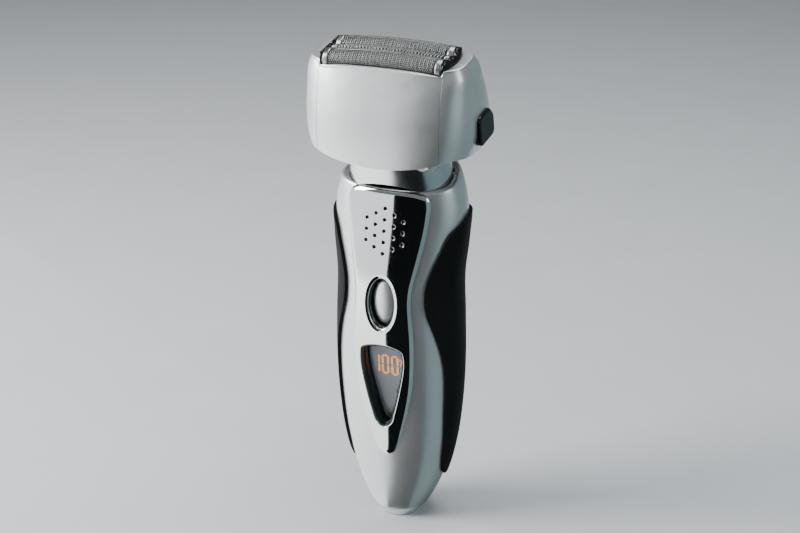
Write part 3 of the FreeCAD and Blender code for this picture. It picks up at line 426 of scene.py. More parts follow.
def add_modifier(obj, kind, **values):
    """Adds a modifier with the given settings."""
    modifier = obj.modifiers.new(kind.lower(), kind)
    for key, value in values.items():
        setattr(modifier, key, value)
    return modifier


def thicken(obj, thickness, edge=0.0, segments=3, angle=40, offset=-1):
    """Gives a sheet its thickness and round edges."""
    add_modifier(obj, "SOLIDIFY", thickness=thickness * MM, offset=offset,
                 use_even_offset=True)
    if edge:
        soften(obj, edge, segments, angle)


def soften(obj, edge, segments=2, angle=40):
    """Rounds the sharp edges."""
    add_modifier(obj, "BEVEL", width=edge * MM, segments=segments, limit_method="ANGLE",
                 angle_limit=math.radians(angle), harden_normals=True)


def sheet_grid(name, grid, material, flip=False):
    """Object from a (rows, columns, 3) grid of points in millimetres."""
    rows, columns, _ = grid.shape
    faces = grid_faces(rows, columns)
    if flip:
        faces = [tuple(reversed(f)) for f in faces]
    return new_object(name, grid.reshape(-1, 3), faces, material)


def ring_stack(name, rings, material, cap_start=False, cap_end=False, flip=False):
    """Object from closed rings of points, each joined to the next."""
    count = len(rings[0])
    points = np.vstack(rings)
    faces = grid_faces(len(rings), count, closed=True)
    if cap_start:
        points = np.vstack([points, rings[0].mean(axis=0)])
        tip = len(points) - 1
        faces += [((k + 1) % count, k, tip) for k in range(count)]
    if cap_end:
        points = np.vstack([points, rings[-1].mean(axis=0)])
        tip = len(points) - 1
        base = (len(rings) - 1) * count
        faces += [(base + k, base + (k + 1) % count, tip) for k in range(count)]
    if flip:
        faces = [tuple(reversed(f)) for f in faces]
    return new_object(name, points, faces, material)


def offset_loop(loop, distance):
    """Anticlockwise 2D loop moved outwards."""
    along = np.roll(loop, -1, 0) - np.roll(loop, 1, 0)
    normal = np.c_[along[:, 1], -along[:, 0]]
    return loop + distance * normal / np.linalg.norm(normal, axis=1)[:, None]


def is_inside(points, loop):
    """Which 2D points lie inside the loop."""
    x, y = points[:, 0, None], points[:, 1, None]
    x0, y0 = loop[None, :, 0], loop[None, :, 1]
    x1, y1 = np.roll(loop[:, 0], -1)[None], np.roll(loop[:, 1], -1)[None]
    spans = (y0 > y) != (y1 > y)
    with np.errstate(divide="ignore", invalid="ignore"):
        crosses = spans & (x < (x1 - x0) * (y - y0) / (y1 - y0) + x0)
    return crosses.sum(axis=1) % 2 == 1


def in_region(points, outer, holes):
    """Which 2D points lie inside a loop and outside all of its holes."""
    keep = is_inside(points, outer)
    for hole in holes:
        keep &= ~is_inside(points, hole)
    return keep


def fill_region(outer, holes, step):
    """Points and triangles that fill a loop round its holes. The loops' points come first."""
    loops = [outer] + list(holes)
    edges, points = [], []
    for loop in loops:
        start = len(points)
        points += [tuple(p) for p in loop]
        edges += [(start + k, start + (k + 1) % len(loop)) for k in range(len(loop))]
    rim = np.array(points)
    low, high = outer.min(0), outer.max(0)
    xs = np.arange(low[0] + step / 2, high[0], step)
    zs = np.arange(low[1] + step / 2, high[1], step)
    inner = np.array([(x + (k % 2) * step / 2, z) for k, z in enumerate(zs) for x in xs])
    inner = inner[in_region(inner, outer, holes)]
    near = np.sqrt(((inner[:, None] - rim[None]) ** 2).sum(-1)).min(1)
    inner = inner[near > FILL_MARGIN * step]
    points = [Vector(p) for p in np.vstack([rim, inner])]
    out, _, faces, sources, _, _ = delaunay_2d_cdt(points, edges, [], 0, 1e-7)
    order = [s[0] if s else -1 for s in sources]
    flat = np.array([(v.x, v.y) for v in out])
    centres = np.array([flat[list(f)].mean(0) for f in faces])
    keep = in_region(centres, outer, holes)
    kept = [tuple(order[v] for v in f) for f, inside in zip(faces, keep) if inside]
    return np.array([tuple(p) for p in points]), kept


def plate(name, outer, holes, place, material, roll, depth, slope=0.0, step=0.9):
    """Plate on a surface: filled top, rolled edge, walls down to a depth, and a back.

    roll is the edge's (width, depth). holes is a list of (loop, depth or None if through,
    width and depth of its own rolled edge).
    """
    turns = np.radians(np.linspace(0, 90, 9))
    top_loops = [offset_loop(outer, -roll[0])]
    top_loops += [offset_loop(loop, edge[0]) for loop, _, edge in holes]
    flat, faces = fill_region(top_loops[0], top_loops[1:], step)
    points = [place(flat, 0.0)]
    top_count = len(flat)
    count = top_count
    start = 0
    ends = []
    for index, (loop, stop, edge) in enumerate([(outer, None, roll)] + list(holes)):
        wide, deep = (edge[0] if index == 0 else -edge[0]), edge[1]
        size = len(loop)
        previous = list(range(start, start + size))
        start += size
        rings = [(wide * (math.sin(a) - 1), deep * (1 - math.cos(a))) for a in turns[1:]]
        end_depth = depth if stop is None else stop
        rings.append((slope * end_depth if index == 0 else 0.0, end_depth))
        for shift, down in rings:
            points.append(place(offset_loop(loop, shift), down))
            ring = list(range(count, count + size))
            count += size
            for k in range(size):
                n = (k + 1) % size
                quad = (previous[k], previous[n], ring[n], ring[k])
                faces.append(quad if index else tuple(reversed(quad)))
            previous = ring
        if stop is None:
            ends.append((previous, offset_loop(loop, rings[-1][0])))
        else:
            points.append(place(loop.mean(axis=0)[None], stop))
            faces += [(previous[k], previous[(k + 1) % size], count) for k in range(size)]
            count += 1
    flat_back, back_faces = fill_region(ends[0][1], [e[1] for e in ends[1:]], step * 1.6)
    ring_ids = [v for e in ends for v in e[0]]
    extra = len(ring_ids)
    points.append(place(flat_back[extra:], depth))
    ids = ring_ids + list(range(count, count + len(flat_back) - extra))
    faces += [tuple(ids[v] for v in reversed(f)) for f in back_faces]
    obj = new_object(name, np.vstack(points), faces, material)
    face_outwards(obj)
    set_top_normals(obj, flat, place, top_count)
    return obj


def face_outwards(obj):
    """Makes the faces of a closed mesh point outwards."""
    with edited(obj.data) as bm:
        bmesh.ops.recalc_face_normals(bm, faces=bm.faces)


def set_top_normals(obj, flat, place, count, step=0.02):
    """Takes the shading of a plate's top from the surface it lies on."""
    centre = place(flat, 0.0)
    along = place(flat + (step, 0), 0.0) - centre
    up = place(flat + (0, step), 0.0) - centre
    normal = np.cross(along, up)
    normal /= np.linalg.norm(normal, axis=1)[:, None]
    normals = np.array([v.normal[:] for v in obj.data.vertices])
    if (normals[:count] * normal).sum() < 0:
        normal = -normal
    normals[:count] = normal
    obj.data.normals_split_custom_set_from_vertices([tuple(n) for n in normals])


def finish_piece(obj, body, slot, *nodes):
    """Puts a piece on its body and hides the CAD nodes that it stands for. The slot argument is
    not used.
    """
    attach(obj, body)
    if nodes:
        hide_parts(*nodes)
    return obj


# ---------------------------------------------------------------- materials
class Nodes:
    """Short helper for building one material's node tree."""

    def __init__(self, name):
        self.material = bpy.data.materials.new(name)
        self.material.use_nodes = True
        self.tree = self.material.node_tree
        self.shader = self.tree.nodes["Principled BSDF"]

    def set(self, **values):
        for key, value in values.items():
            socket = self.shader.inputs[key.replace("_", " ")]
            socket.default_value = value if not isinstance(value, tuple) or len(value) == 4 \
                else (*value, 1)

    def add(self, kind, inputs=None, **settings):
        node = self.tree.nodes.new(kind)
        for key, value in settings.items():
            setattr(node, key, value)
        for key, value in (inputs or {}).items():
            if hasattr(value, "is_output"):
                self.tree.links.new(value, node.inputs[key])
            else:
                node.inputs[key].default_value = value
        return node

    def place(self):
        return self.add("ShaderNodeTexCoord").outputs["Object"]

    def noise(self, scale, detail=3.0, roughness=0.55, where=None):
        return self.add("ShaderNodeTexNoise", {
            "Vector": where or self.place(), "Scale": scale, "Detail": detail,
            "Roughness": roughness}).outputs["Fac"]

    def spread(self, value, low, high):
        """Maps 0..1 to low..high."""
        return self.add("ShaderNodeMapRange", {
            "Value": value, "From Min": 0.25, "From Max": 0.75, "To Min": low,
            "To Max": high}).outputs["Result"]

    def mix(self, share, first, second):
        node = self.add("ShaderNodeMix", data_type="RGBA")
        self.tree.links.new(share, node.inputs["Factor"])
        node.inputs["A"].default_value = (*first, 1)
        node.inputs["B"].default_value = (*second, 1)
        return node.outputs["Result"]

    def bump(self, height, distance, strength=1.0, after=None):
        inputs = {"Height": height, "Distance": distance, "Strength": strength}
        if after is not None:
            inputs["Normal"] = after
        return self.add("ShaderNodeBump", inputs).outputs["Normal"]

    def link(self, output, name):
        self.tree.links.new(output, self.shader.inputs[name])


def silver_material():
    """Silver lacquer: fine flakes under a satin clear coat, with faint handling marks."""
    n = Nodes("silver_lacquer")
    n.set(Metallic=0.85, Coat_Weight=0.3, Coat_Roughness=0.22)
    flakes = n.add("ShaderNodeTexVoronoi", {"Vector": n.place(), "Scale": 5200.0})
    cloud = n.noise(60.0, 4.0)
    tint = n.mix(n.spread(cloud, 0.0, 1.0), (0.76, 0.785, 0.79), (0.81, 0.83, 0.835))
    sparkle = n.add("ShaderNodeMix", data_type="RGBA", blend_type="MULTIPLY")
    sparkle.inputs["Factor"].default_value = 0.07
    n.tree.links.new(tint, sparkle.inputs["A"])
    n.tree.links.new(flakes.outputs["Color"], sparkle.inputs["B"])
    n.link(sparkle.outputs["Result"], "Base Color")
    n.link(n.spread(n.noise(220.0, 5.0), 0.29, 0.37), "Roughness")
    fine = n.bump(flakes.outputs["Distance"], 0.00002, 0.08)
    n.link(n.bump(n.noise(900.0, 2.0), 0.00002, 0.06, fine), "Normal")
    return n.material


def polished_material():
    """Polished silver with faint smudges, on the neck."""
    n = Nodes("polished_silver")
    n.set(Base_Color=(0.80, 0.815, 0.82), Metallic=1.0)
    n.link(n.spread(n.noise(120.0, 6.0, 0.6), 0.17, 0.25), "Roughness")
    n.link(n.bump(n.noise(900.0, 2.0), 0.00001, 0.1), "Normal")
    return n.material


def chrome_material():
    """Mirror plating with faint smudges."""
    n = Nodes("chrome_plating")
    n.set(Base_Color=(0.86, 0.875, 0.88), Metallic=1.0)
    smudge = n.noise(75.0, 6.0, 0.62)
    n.link(n.spread(smudge, 0.035, 0.085), "Roughness")
    return n.material


def satin_material():
    """Satin metallised plastic of the button."""
    n = Nodes("button_satin")
    n.set(Base_Color=(0.80, 0.815, 0.82), Metallic=0.85)
    n.link(n.spread(n.noise(700.0, 3.0), 0.36, 0.44), "Roughness")
    n.link(n.bump(n.noise(2600.0, 2.0), 0.000008, 0.15), "Normal")
    return n.material


def brushed_material(name, colour, rough, scale=(900, 900, 60), metallic=1.0):
    """Metal with a grain along one direction."""
    n = Nodes(name)
    n.set(Metallic=metallic)
    stretch = n.add("ShaderNodeMapping", {"Vector": n.place(), "Scale": scale})
    grain = n.noise(1.0, 4.0, 0.6, stretch.outputs["Vector"])
    darker = tuple(c * 0.86 for c in colour)
    n.link(n.mix(n.spread(grain, 0.0, 1.0), darker, colour), "Base Color")
    n.link(n.spread(grain, rough * 0.8, rough * 1.25), "Roughness")
    n.link(n.bump(grain, 0.00001, 0.25), "Normal")
    return n.material


def rubber_material():
    """Matte black elastomer with a fine spark texture, polished a little by use."""
    n = Nodes("black_elastomer")
    n.set(Specular_IOR_Level=0.12)
    grain = n.add("ShaderNodeTexVoronoi", {"Vector": n.place(), "Scale": 2600.0})
    cloud = n.noise(45.0, 4.0)
    n.link(n.mix(n.spread(cloud, 0.0, 1.0), (0.004, 0.004, 0.005), (0.008, 0.008, 0.009)),
           "Base Color")
    n.link(n.spread(cloud, 0.50, 0.66), "Roughness")
    rough = n.bump(grain.outputs["Distance"], 0.00006, 0.35)
    n.link(n.bump(n.noise(1400.0, 3.0), 0.00003, 0.3, rough), "Normal")
    return n.material


def plastic_material(name, colour, rough, grain=1500.0, depth=0.00002, coat=0.0, gloss=0.4):
    """Moulded plastic with a slight mottle and a fine surface texture."""
    n = Nodes(name)
    n.set(Coat_Weight=coat, Coat_Roughness=0.08, Specular_IOR_Level=gloss)
    cloud = n.noise(90.0, 4.0)
    lighter = tuple(min(1.0, c * 1.25 + 0.002) for c in colour)
    n.link(n.mix(n.spread(cloud, 0.0, 1.0), colour, lighter), "Base Color")
    n.link(n.spread(n.noise(260.0, 4.0), rough * 0.85, rough * 1.15), "Roughness")
    n.link(n.bump(n.noise(grain, 3.0), depth, 0.3), "Normal")
    return n.material


def glass_material():
    """Clear hard window."""
    n = Nodes("window_glass")
    n.set(Base_Color=(0.93, 0.96, 0.97), Transmission_Weight=1.0, IOR=1.46)
    n.link(n.spread(n.noise(130.0, 5.0), 0.015, 0.05), "Roughness")
    return n.material


def digit_material():
    """Lit orange display segments."""
    n = Nodes("lit_segments")
    n.set(Base_Color=(0.95, 0.34, 0.03), Roughness=0.4, Emission_Strength=1.15)
    glow = n.mix(n.spread(n.noise(500.0, 2.0), 0.0, 1.0), (1.0, 0.30, 0.02), (1.0, 0.36, 0.03))
    n.link(glow, "Emission Color")
    return n.material


MAT = {
    "silver": silver_material(),
    "polished": polished_material(),
    "chrome": chrome_material(),
    "button_silver": satin_material(),
    "black_rubber": rubber_material(),
    "black_gloss": plastic_material("black_gloss", (0.003, 0.003, 0.004), 0.16, 900.0, 0.00001,
                                    0.12, 0.25),
    "black_plastic": plastic_material("black_plastic", (0.005, 0.005, 0.006), 0.30, gloss=0.25),
    # well_dark: near-black glossy plastic that paints the shade inside the button well and the
    # dimples; the display bezel is coloured with it too.
    "well_dark": plastic_material("well_dark", (0.010, 0.014, 0.015), 0.18, 900.0, 0.00001, 0.5),
    "grey_plastic": plastic_material("grey_plastic", (0.20, 0.205, 0.21), 0.5),
    "glass": glass_material(),
    "display": plastic_material("display_face", (0.27, 0.29, 0.31), 0.4, 2500.0, 0.00001),
    "foil_steel": brushed_material("foil_steel", (0.36, 0.37, 0.365), 0.30, (200, 200, 200)),
    "blade_steel": brushed_material("blade_steel", (0.10, 0.103, 0.105), 0.42),
    "steel": brushed_material("plain_steel", (0.50, 0.505, 0.51), 0.33),
    "copper": brushed_material("winding_copper", (0.60, 0.26, 0.12), 0.35, (3000, 300, 300)),
    "board_green": plastic_material("board_green", (0.02, 0.12, 0.05), 0.35),
    "cell_wrap": plastic_material("cell_wrap", (0.03, 0.12, 0.20), 0.3),
    "magnet": brushed_material("magnet_nickel", (0.66, 0.65, 0.62), 0.2),
    "lit": digit_material(),
}


# ---------------------------------------------------------------- handle pieces
def rim_height(y):
    """Height of the housing's sloping rim."""
    return RIM_FRONT_Z + RIM_SLOPE * (y - RIM_FRONT_Y)


def neck_outline(angle, z, grow=0.0):
    """Point of the neck's outline, a rounded block that leans forward."""
    half, front, back = sizes_at(NECK_STATIONS, z)
    centre, depth = (front + back) / 2, (back - front) / 2 + grow
    power = np.where(np.sin(angle) < 0, NECK_FRONT_CURVE, NECK_CURVE)
    r = ray_length(angle, half + grow, depth, power)
    return np.stack([r * np.cos(angle), centre + r * np.sin(angle), z + 0 * r], axis=-1)


def pulled_in(ring, distance):
    """Points of a level ring moved towards the handle's axis."""
    out = np.linalg.norm(ring[..., :2], axis=-1, keepdims=True)
    moved = ring.copy()
    moved[..., :2] *= 1 - distance / out
    return moved


def socket_ring(angle):
    """Rounded outline of the charging socket's opening, seen from the given angles."""
    r = ray_length(angle, *SOCKET_HALF, SOCKET_CURVE)
    return np.stack([r * np.cos(angle), SOCKET_Y + r * np.sin(angle), 0 * r], axis=-1)


def housing_rows(angles_at):
    """Rows from the socket over the base, up the side, over the rim and in to the neck."""
    foot = angles_at(FOOT_ROUND)
    base = handle_point(foot, FOOT_ROUND)
    socket = socket_ring(foot)
    rows = [socket + (0, 0, height) for height in (SOCKET_DEPTH, 0.3, 0.05)]
    flat = pulled_in(base, FOOT_PULL) * (1, 1, 0)
    rows += [socket + (flat - socket) * t for t in (0.04, 0.5, 1.0)]
    for turn in np.radians((25, 50, 75)):
        ring = pulled_in(base, FOOT_PULL * (1 - math.sin(turn)))
        ring[..., 2] = FOOT_ROUND * (1 - math.cos(turn))
        rows.append(ring)
    side = np.concatenate([[FOOT_ROUND, 1.3, 2.0, 2.9], np.linspace(4, SIDE_TOP_Z, 134)])
    rows += [handle_point(angles_at(z), z) for z in side]
    angles = angles_at(RIM_ANGLE_Z)
    top = np.full(angles.shape, RIM_START_Z)
    for _ in range(4):
        top = rim_height(handle_point(angles, top)[..., 1])
    for t in np.linspace(0.08, 1.0, 14):
        blend = angles_at(SIDE_TOP_Z) * (1 - t) + angles * t
        rows.append(handle_point(blend, SIDE_TOP_Z + t * (top - RIM_ROUND - SIDE_TOP_Z)))
    for turn in np.radians((18, 36, 54, 72, 90)):
        ring = handle_point(angles, top - RIM_ROUND + RIM_ROUND * math.sin(turn))
        rows.append(pulled_in(ring, RIM_ROUND * (1 - math.cos(turn))))
    outer = rows[-1]
    inner = neck_outline(angles, top - RIM_NECK_DROP, NECK_GAP)
    room = np.linalg.norm(outer[..., :2], axis=-1)
    reach = np.linalg.norm(inner[..., :2], axis=-1)
    share = np.minimum(reach, room - RIM_LEAST) / room
    rim = outer * share[..., None]
    rim[..., 2] = outer[..., 2] - RIM_DIP * (room - room * share)
    rows += [outer + (rim - outer) * t for t in (0.06, 0.2, 0.5, 0.8, 0.96, 1.0)]
    rows += [rim - (0, 0, down) for down in (0.06, 0.3, 1.5, 4.0)]
    return np.stack(rows)


def panel_loop():
    """Outline of the chrome panel."""
    return mirrored_loop([(x, z) for z, x in PANEL_OUTLINE], 260)


def make_housings():
    """Front and rear silver shells, split by a fine seam."""
    between = np.linspace(0.004, 0.996, 170)
    share = np.concatenate([[0, 0, 0, 0.0005], between, [0.9995, 1, 1, 1]])
    tuck = np.concatenate([SEAM_TUCK, np.zeros(len(between)), SEAM_TUCK[::-1]])
    under_panel = offset_loop(panel_loop(), -PANEL_OVERLAP)
    for front in (True, False):
        node = "front_housing" if front else "rear_housing"
        gap = -SEAM_GAP if front else SEAM_GAP

        def angles_at(z):
            start = angle_where(np.array(z), 1, SPLIT_Y + gap, 0.0, math.pi / 2)
            low, high = (math.pi - start, 2 * math.pi + start) if front \
                else (start, math.pi - start)
            return low + share * (high - low)

        grid = housing_rows(angles_at)
        rows, columns, _ = grid.shape
        grid = np.stack([pulled_in(row, tuck[:, None]) for row in grid])
        faces = grid_faces(rows, columns)
        points = grid.reshape(-1, 3)
        if front:
            centres = points[np.array(faces)].mean(axis=1)
            covered = is_inside(centres[:, (0, 2)], under_panel) & (centres[:, 1] < 0)
            faces = [f for f, hidden in zip(faces, covered) if not hidden]
        obj = new_object(node + "_shell", points, faces, MAT["silver"])
        if not front:
            open_bay(obj.data)
        obj.data.set_sharp_from_angle(angle=math.radians(45))
        finish_piece(obj, "handle", "silver", node)


def open_bay(mesh):
    """Opens the rear shell, with walls, where the trimmer slides up through the rim."""
    cuts = ((BAY_HALF_X, 0, 0), (-BAY_HALF_X, 0, 0), (0, 0, BAY_Z), (0, BAY_Y, 0))

    def in_bay(point):
        x, y, z = point / MM
        return abs(x) < BAY_HALF_X and y > BAY_Y and z > BAY_Z

    def on_wall(edge):
        x, y, z = (edge.verts[0].co + edge.verts[1].co) / 2 / MM
        on_side = abs(abs(x) - BAY_HALF_X) < BAY_SNAP and z > BAY_Z - BAY_SNAP
        on_floor = abs(z - BAY_Z) < BAY_SNAP and abs(x) < BAY_HALF_X + BAY_SNAP
        return edge.is_boundary and y > BAY_Y + BAY_SNAP and (on_side or on_floor)

    with edited(mesh) as bm:
        for cut in cuts:
            place = Vector(cut) * MM
            bmesh.ops.bisect_plane(bm, geom=bm.verts[:] + bm.edges[:] + bm.faces[:],
                                   plane_co=place, plane_no=place.normalized(),
                                   dist=CUT_DISTANCE * MM)
        gone = [f for f in bm.faces if in_bay(f.calc_center_median())]
        bmesh.ops.delete(bm, geom=gone, context="FACES")
        rim = [e for e in bm.edges if on_wall(e)]
        for item in bmesh.ops.extrude_edge_only(bm, edges=rim)["geom"]:
            if isinstance(item, bmesh.types.BMVert):
                item.co.y = BAY_Y * MM


def make_grip(side):
    """Rubber grip: a patch between its curved front edge and its straight back edge."""
    across, up = 46, 150
    front = path_through(GRIP_FRONT, up)
    front_angle = angle_where(front[:, 1], 1, front[:, 0], -math.pi / 2, math.pi / 2)
    back_z = np.linspace(*GRIP_BACK_Z, up)
    back_angle = angle_where(back_z, 0, GRIP_BACK_X, 0.05, math.pi / 2)
    u = np.linspace(0, 1, across)[None, :]
    angle = back_angle[:, None] * (1 - u) + front_angle[:, None] * u
    z = back_z[:, None] * (1 - u) + front[:, 1][:, None] * u
    grid = handle_point(angle, z, GRIP_PROUD)
    grid[..., 0] *= side
    name = "grip_right" if side > 0 else "grip_left"
    obj = sheet_grid(name + "_rubber", grid, MAT["black_rubber"], flip=side < 0)
    thicken(obj, GRIP_THICK, GRIP_EDGE, 4)
    return finish_piece(obj, "handle", "black_rubber", name)


def oval(x, z, rx, rz, count):
    """Ellipse round (x, z)."""
    a = np.linspace(0, 2 * math.pi, count, endpoint=False)
    return np.c_[x + rx * np.cos(a), z + rz * np.sin(a)]


def dimple_places():
    """Centres of the dimples, column by column."""
    places = []
    middle = (len(DIMPLE_COLUMNS) - 1) / 2
    for column, count in enumerate(DIMPLE_COLUMNS):
        for row in range(count):
            z = DIMPLE_Z + (row - (count - 1) / 2) * DIMPLE_PITCH[1]
            places.append(((column - middle) * DIMPLE_PITCH[0], z))
    return places


def make_panel():
    """Chrome panel with dimples, button opening and display window."""
    outer = offset_loop(panel_loop(), PANEL_SPREAD)
    well = oval(0, BUTTON_Z, *WELL_HALF, WELL_POINTS)
    holes = [(window_loop(), None, WINDOW_ROLL),
             (offset_loop(well, -WELL_FLARE[0] / 2), None, WELL_FLARE)]
    inner = DIMPLE_R - DIMPLE_EDGE
    holes += [(oval(x, z, inner, inner, DIMPLE_POINTS), DIMPLE_DEPTH,
               (DIMPLE_EDGE, DIMPLE_EDGE)) for x, z in dimple_places()]
    obj = plate("front_panel_chrome", outer, holes, on_panel, MAT["chrome"], PANEL_ROLL,
                PANEL_THICK, PANEL_TAPER, 0.8)
    finish_piece(obj, "handle", "chrome", "front_panel")
    make_dimple_shade_cups(inner - 0.01)


def make_dimple_shade_cups(radius):
    """Near-black cups inside the chrome dimples: painted shade in their hollows."""
    points, faces = [], []
    rings = ((radius, 0.24), (radius, 0.6), (radius * 0.8, 0.74), (radius * 0.4, 0.78))
    for x, z in dimple_places():
        start = len(points)
        for size, depth in rings:
            points += list(on_panel(oval(x, z, size, size, DIMPLE_POINTS), depth))
        faces += grid_faces(len(rings), DIMPLE_POINTS, closed=True, start=start)
        tip = len(points)
        points += list(on_panel(np.array([(x, z)]), rings[-1][1]))
        last = tip - DIMPLE_POINTS
        faces += [(last + k, last + (k + 1) % DIMPLE_POINTS, tip)
                  for k in range(DIMPLE_POINTS)]
    # The near-black cups paint the shade inside each dimple.
    obj = new_object("dimple_shade_cups", points, faces, MAT["well_dark"])
    finish_piece(obj, "handle", "well_dark")


def make_button():
    """Near-black well, its colour painted shade on its walls, and the domed oval button in it.
    """
    surface = -front_depth(BUTTON_Z)
    wx, wz = WELL_HALF
    bx, bz = BUTTON_HALF

    def ring(x, z, y):
        loop = oval(0, BUTTON_Z, x, z, WELL_POINTS)
        return np.c_[loop[:, 0], np.full(WELL_POINTS, y), loop[:, 1]]

    def top_ring(shrink, down):
        return on_panel(oval(0, BUTTON_Z, wx - shrink, wz - shrink, WELL_POINTS), down)

    floor = surface + WELL_DEPTH
    lip = WELL_FLARE[0] / 2
    # Shrink and depth of the rings under the panel, then of those near the floor.
    rings = [top_ring(lip + more, down)
             for more, down in ((0, 2.2), (0, 1.0), (0.03, 0.9), (0.1, 0.9))]
    rings += [ring(wx - less, wz - less, floor - up)
              for less, up in ((0.95, 0.5), (1.15, 0.1), (1.4, 0))]
    rings += [ring(bx + BUTTON_GAP, bz + BUTTON_GAP, floor + down) for down in (0, 1.0)]
    # The well's near-black colour paints the shade on its walls.
    well = ring_stack("button_well_cup", rings, MAT["well_dark"])
    finish_piece(well, "handle", "well_dark", "button_well")

    edge = surface + BUTTON_EDGE_DEPTH
    rings = [ring(bx, bz, edge + BUTTON_SKIRT), ring(bx, bz, edge)]
    for turn in np.linspace(0.06, 1, 16) * math.pi / 2:
        shrink = 1 - (1 - math.cos(turn)) * BUTTON_CLOSE
        rise = BUTTON_DOME * math.sin(turn) ** BUTTON_DOME_CURVE
        rings.append(ring(bx * shrink, bz * shrink, edge - rise))
    button = ring_stack("power_button_cap", rings, MAT["button_silver"], cap_end=True)
    finish_piece(button, "power_button", "button_silver", "power_button")


def segment_loops():
    """Outlines of the lit seven-segment digits and a small percent sign."""
    loops = []

    def bar(x0, z0, x1, z1, thick=DIGIT_STROKE):
        """Pointed bar between two points."""
        a, b = np.array((x0, z0)), np.array((x1, z1))
        along = (b - a) / np.linalg.norm(b - a)
        across = np.array((-along[1], along[0])) * thick / 2
        cut = along * thick / 2
        loops.append(np.array([a, a + cut - across, b - cut - across, b, b - cut + across,
                               a + cut + across]))

    def digit(x, lit):
        w, h = DIGIT_WIDTH - DIGIT_STROKE, (DIGIT_HEIGHT - DIGIT_STROKE) / 2
        ends = {"a": (0, 2, 1, 2), "b": (1, 1, 1, 2), "c": (1, 0, 1, 1), "d": (0, 0, 1, 0),
                "e": (0, 0, 0, 1), "f": (0, 1, 0, 2), "g": (0, 1, 1, 1)}
        for key in lit:
            x0, z0, x1, z1 = ends[key]
            trim_x = DIGIT_GAP if x0 != x1 else 0
            trim_z = DIGIT_GAP if z0 != z1 else 0
            bar(x + x0 * w + trim_x, z0 * h + trim_z, x + x1 * w - trim_x, z1 * h - trim_z)

    for place, lit in zip(DIGIT_PLACES, ("bc", "abcdef", "abcdef")):
        digit(place, lit)
    loops += [oval(x, z, *PERCENT_DOT, 12) for x, z in PERCENT_DOTS]
    bar(*PERCENT_BAR, 0.22)
    return [loop + DIGITS_AT for loop in loops]


def window_loop():
    """Outline of the display window."""
    return mirrored_loop(WINDOW_POINTS, 130)


def make_display():
    """Stepped bezel, face with lit digits, and the window over them."""
    window = window_loop()
    rings = [on_panel(offset_loop(window, -shrink), down) for shrink, down in BEZEL_STEPS]
    rings += [on_display(offset_loop(window, -shrink), down) for shrink, down in BEZEL_FOOT]
    bezel = ring_stack("display_bezel_ring", rings, MAT["well_dark"])
    finish_piece(bezel, "handle", "well_dark", "display_bezel")

    pane = offset_loop(window, -PANE_INSET)
    glass = plate("display_window_pane", pane, [], on_display, MAT["glass"], (0.12, 0.12),
                  PANE_THICK, 0.0, 1.2)
    finish_piece(glass, "handle", "glass", "display_window")

    def behind(xz, depth):
        return on_display(xz, depth + FACE_DEPTH)

    face = plate("display_face", offset_loop(window, -FACE_INSET), [], behind, MAT["display"],
                 (0.1, 0.1), 1.0, 0.0, 1.2)
    finish_piece(face, "handle", "display", "display_module")

    points, faces = [], []
    for loop in segment_loops():
        start, size = len(points), len(loop)
        for depth in DIGIT_DEPTHS:
            points += list(on_display(loop, depth))
        faces.append(tuple(start + k for k in range(size)))
        faces.append(tuple(start + size + k for k in reversed(range(size))))
        for k in range(size):
            n = (k + 1) % size
            faces.append((start + k, start + size + k, start + size + n, start + n))
    digits = new_object("display_digits", points, faces, MAT["lit"], smooth=False)
    face_outwards(digits)
    finish_piece(digits, "handle", "display")


def make_neck():
    """Silver neck with an arched lower front edge and a scoop at each side."""
    angles = np.linspace(0, 2 * math.pi, 240, endpoint=False)
    base = neck_outline(angles, NECK_EDGE_Z)
    in_front = base[:, 1] < NECK_EDGE_Y
    share = np.clip(1 - (base[:, 0] / NECK_EDGE_HALF) ** 2, 0, 1)
    low = np.where(in_front, NECK_EDGE_Z + NECK_EDGE_ARCH * share, NECK_FOOT_Z)
    c, s = math.cos(HEAD_TILT), math.sin(HEAD_TILT)
    high = HEAD_ORIGIN[2] + NECK_TOP_Z / c
    for _ in range(3):
        high = HEAD_ORIGIN[2] + (NECK_TOP_Z + neck_outline(angles, high)[:, 1] * s) / c
    side = [neck_outline(angles, low + t * (high - NECK_ROUND - low))
            for t in np.linspace(0, 1, 50)]
    foot, top = side[0], side[-1]
    rings = [pulled_in(foot, 1.6) + (0, 0, 0.2), pulled_in(foot, 0.35) - (0, 0, 0.05),
             pulled_in(foot, 0.12)] + side
    for turn in np.radians((30, 60, 90)):
        ring = pulled_in(top, NECK_ROUND * (1 - math.cos(turn)))
        rings.append(ring + (0, 0, NECK_ROUND * math.sin(turn)))
    last = rings[-1]
    rings += [pulled_in(last, pull) - (0, 0, down)
              for pull, down in ((1.2, 0.0), (1.5, 0.3), (1.5, 3.0))]
    obj = ring_stack("neck_shell", rings, MAT["polished"], cap_start=True, cap_end=True)
    face_outwards(obj)
    carve(obj, [(hand * SCOOP_PLACE[0],) + SCOOP_PLACE[1:] for hand in (-1, 1)], SCOOP_R)
    finish_piece(obj, "handle", "silver", "neck_cover")


def ball(centre, radius, material):
    """Closed sphere."""
    turns = np.linspace(0, math.pi, 49)[1:-1]
    angles = np.linspace(0, 2 * math.pi, 96, endpoint=False)
    rings = [centre + radius * np.c_[math.sin(t) * np.cos(angles), math.sin(t) * np.sin(angles),
                                     np.full(len(angles), math.cos(t))] for t in turns]
    obj = ring_stack("ball", rings, material, cap_start=True, cap_end=True)
    face_outwards(obj)
    return obj


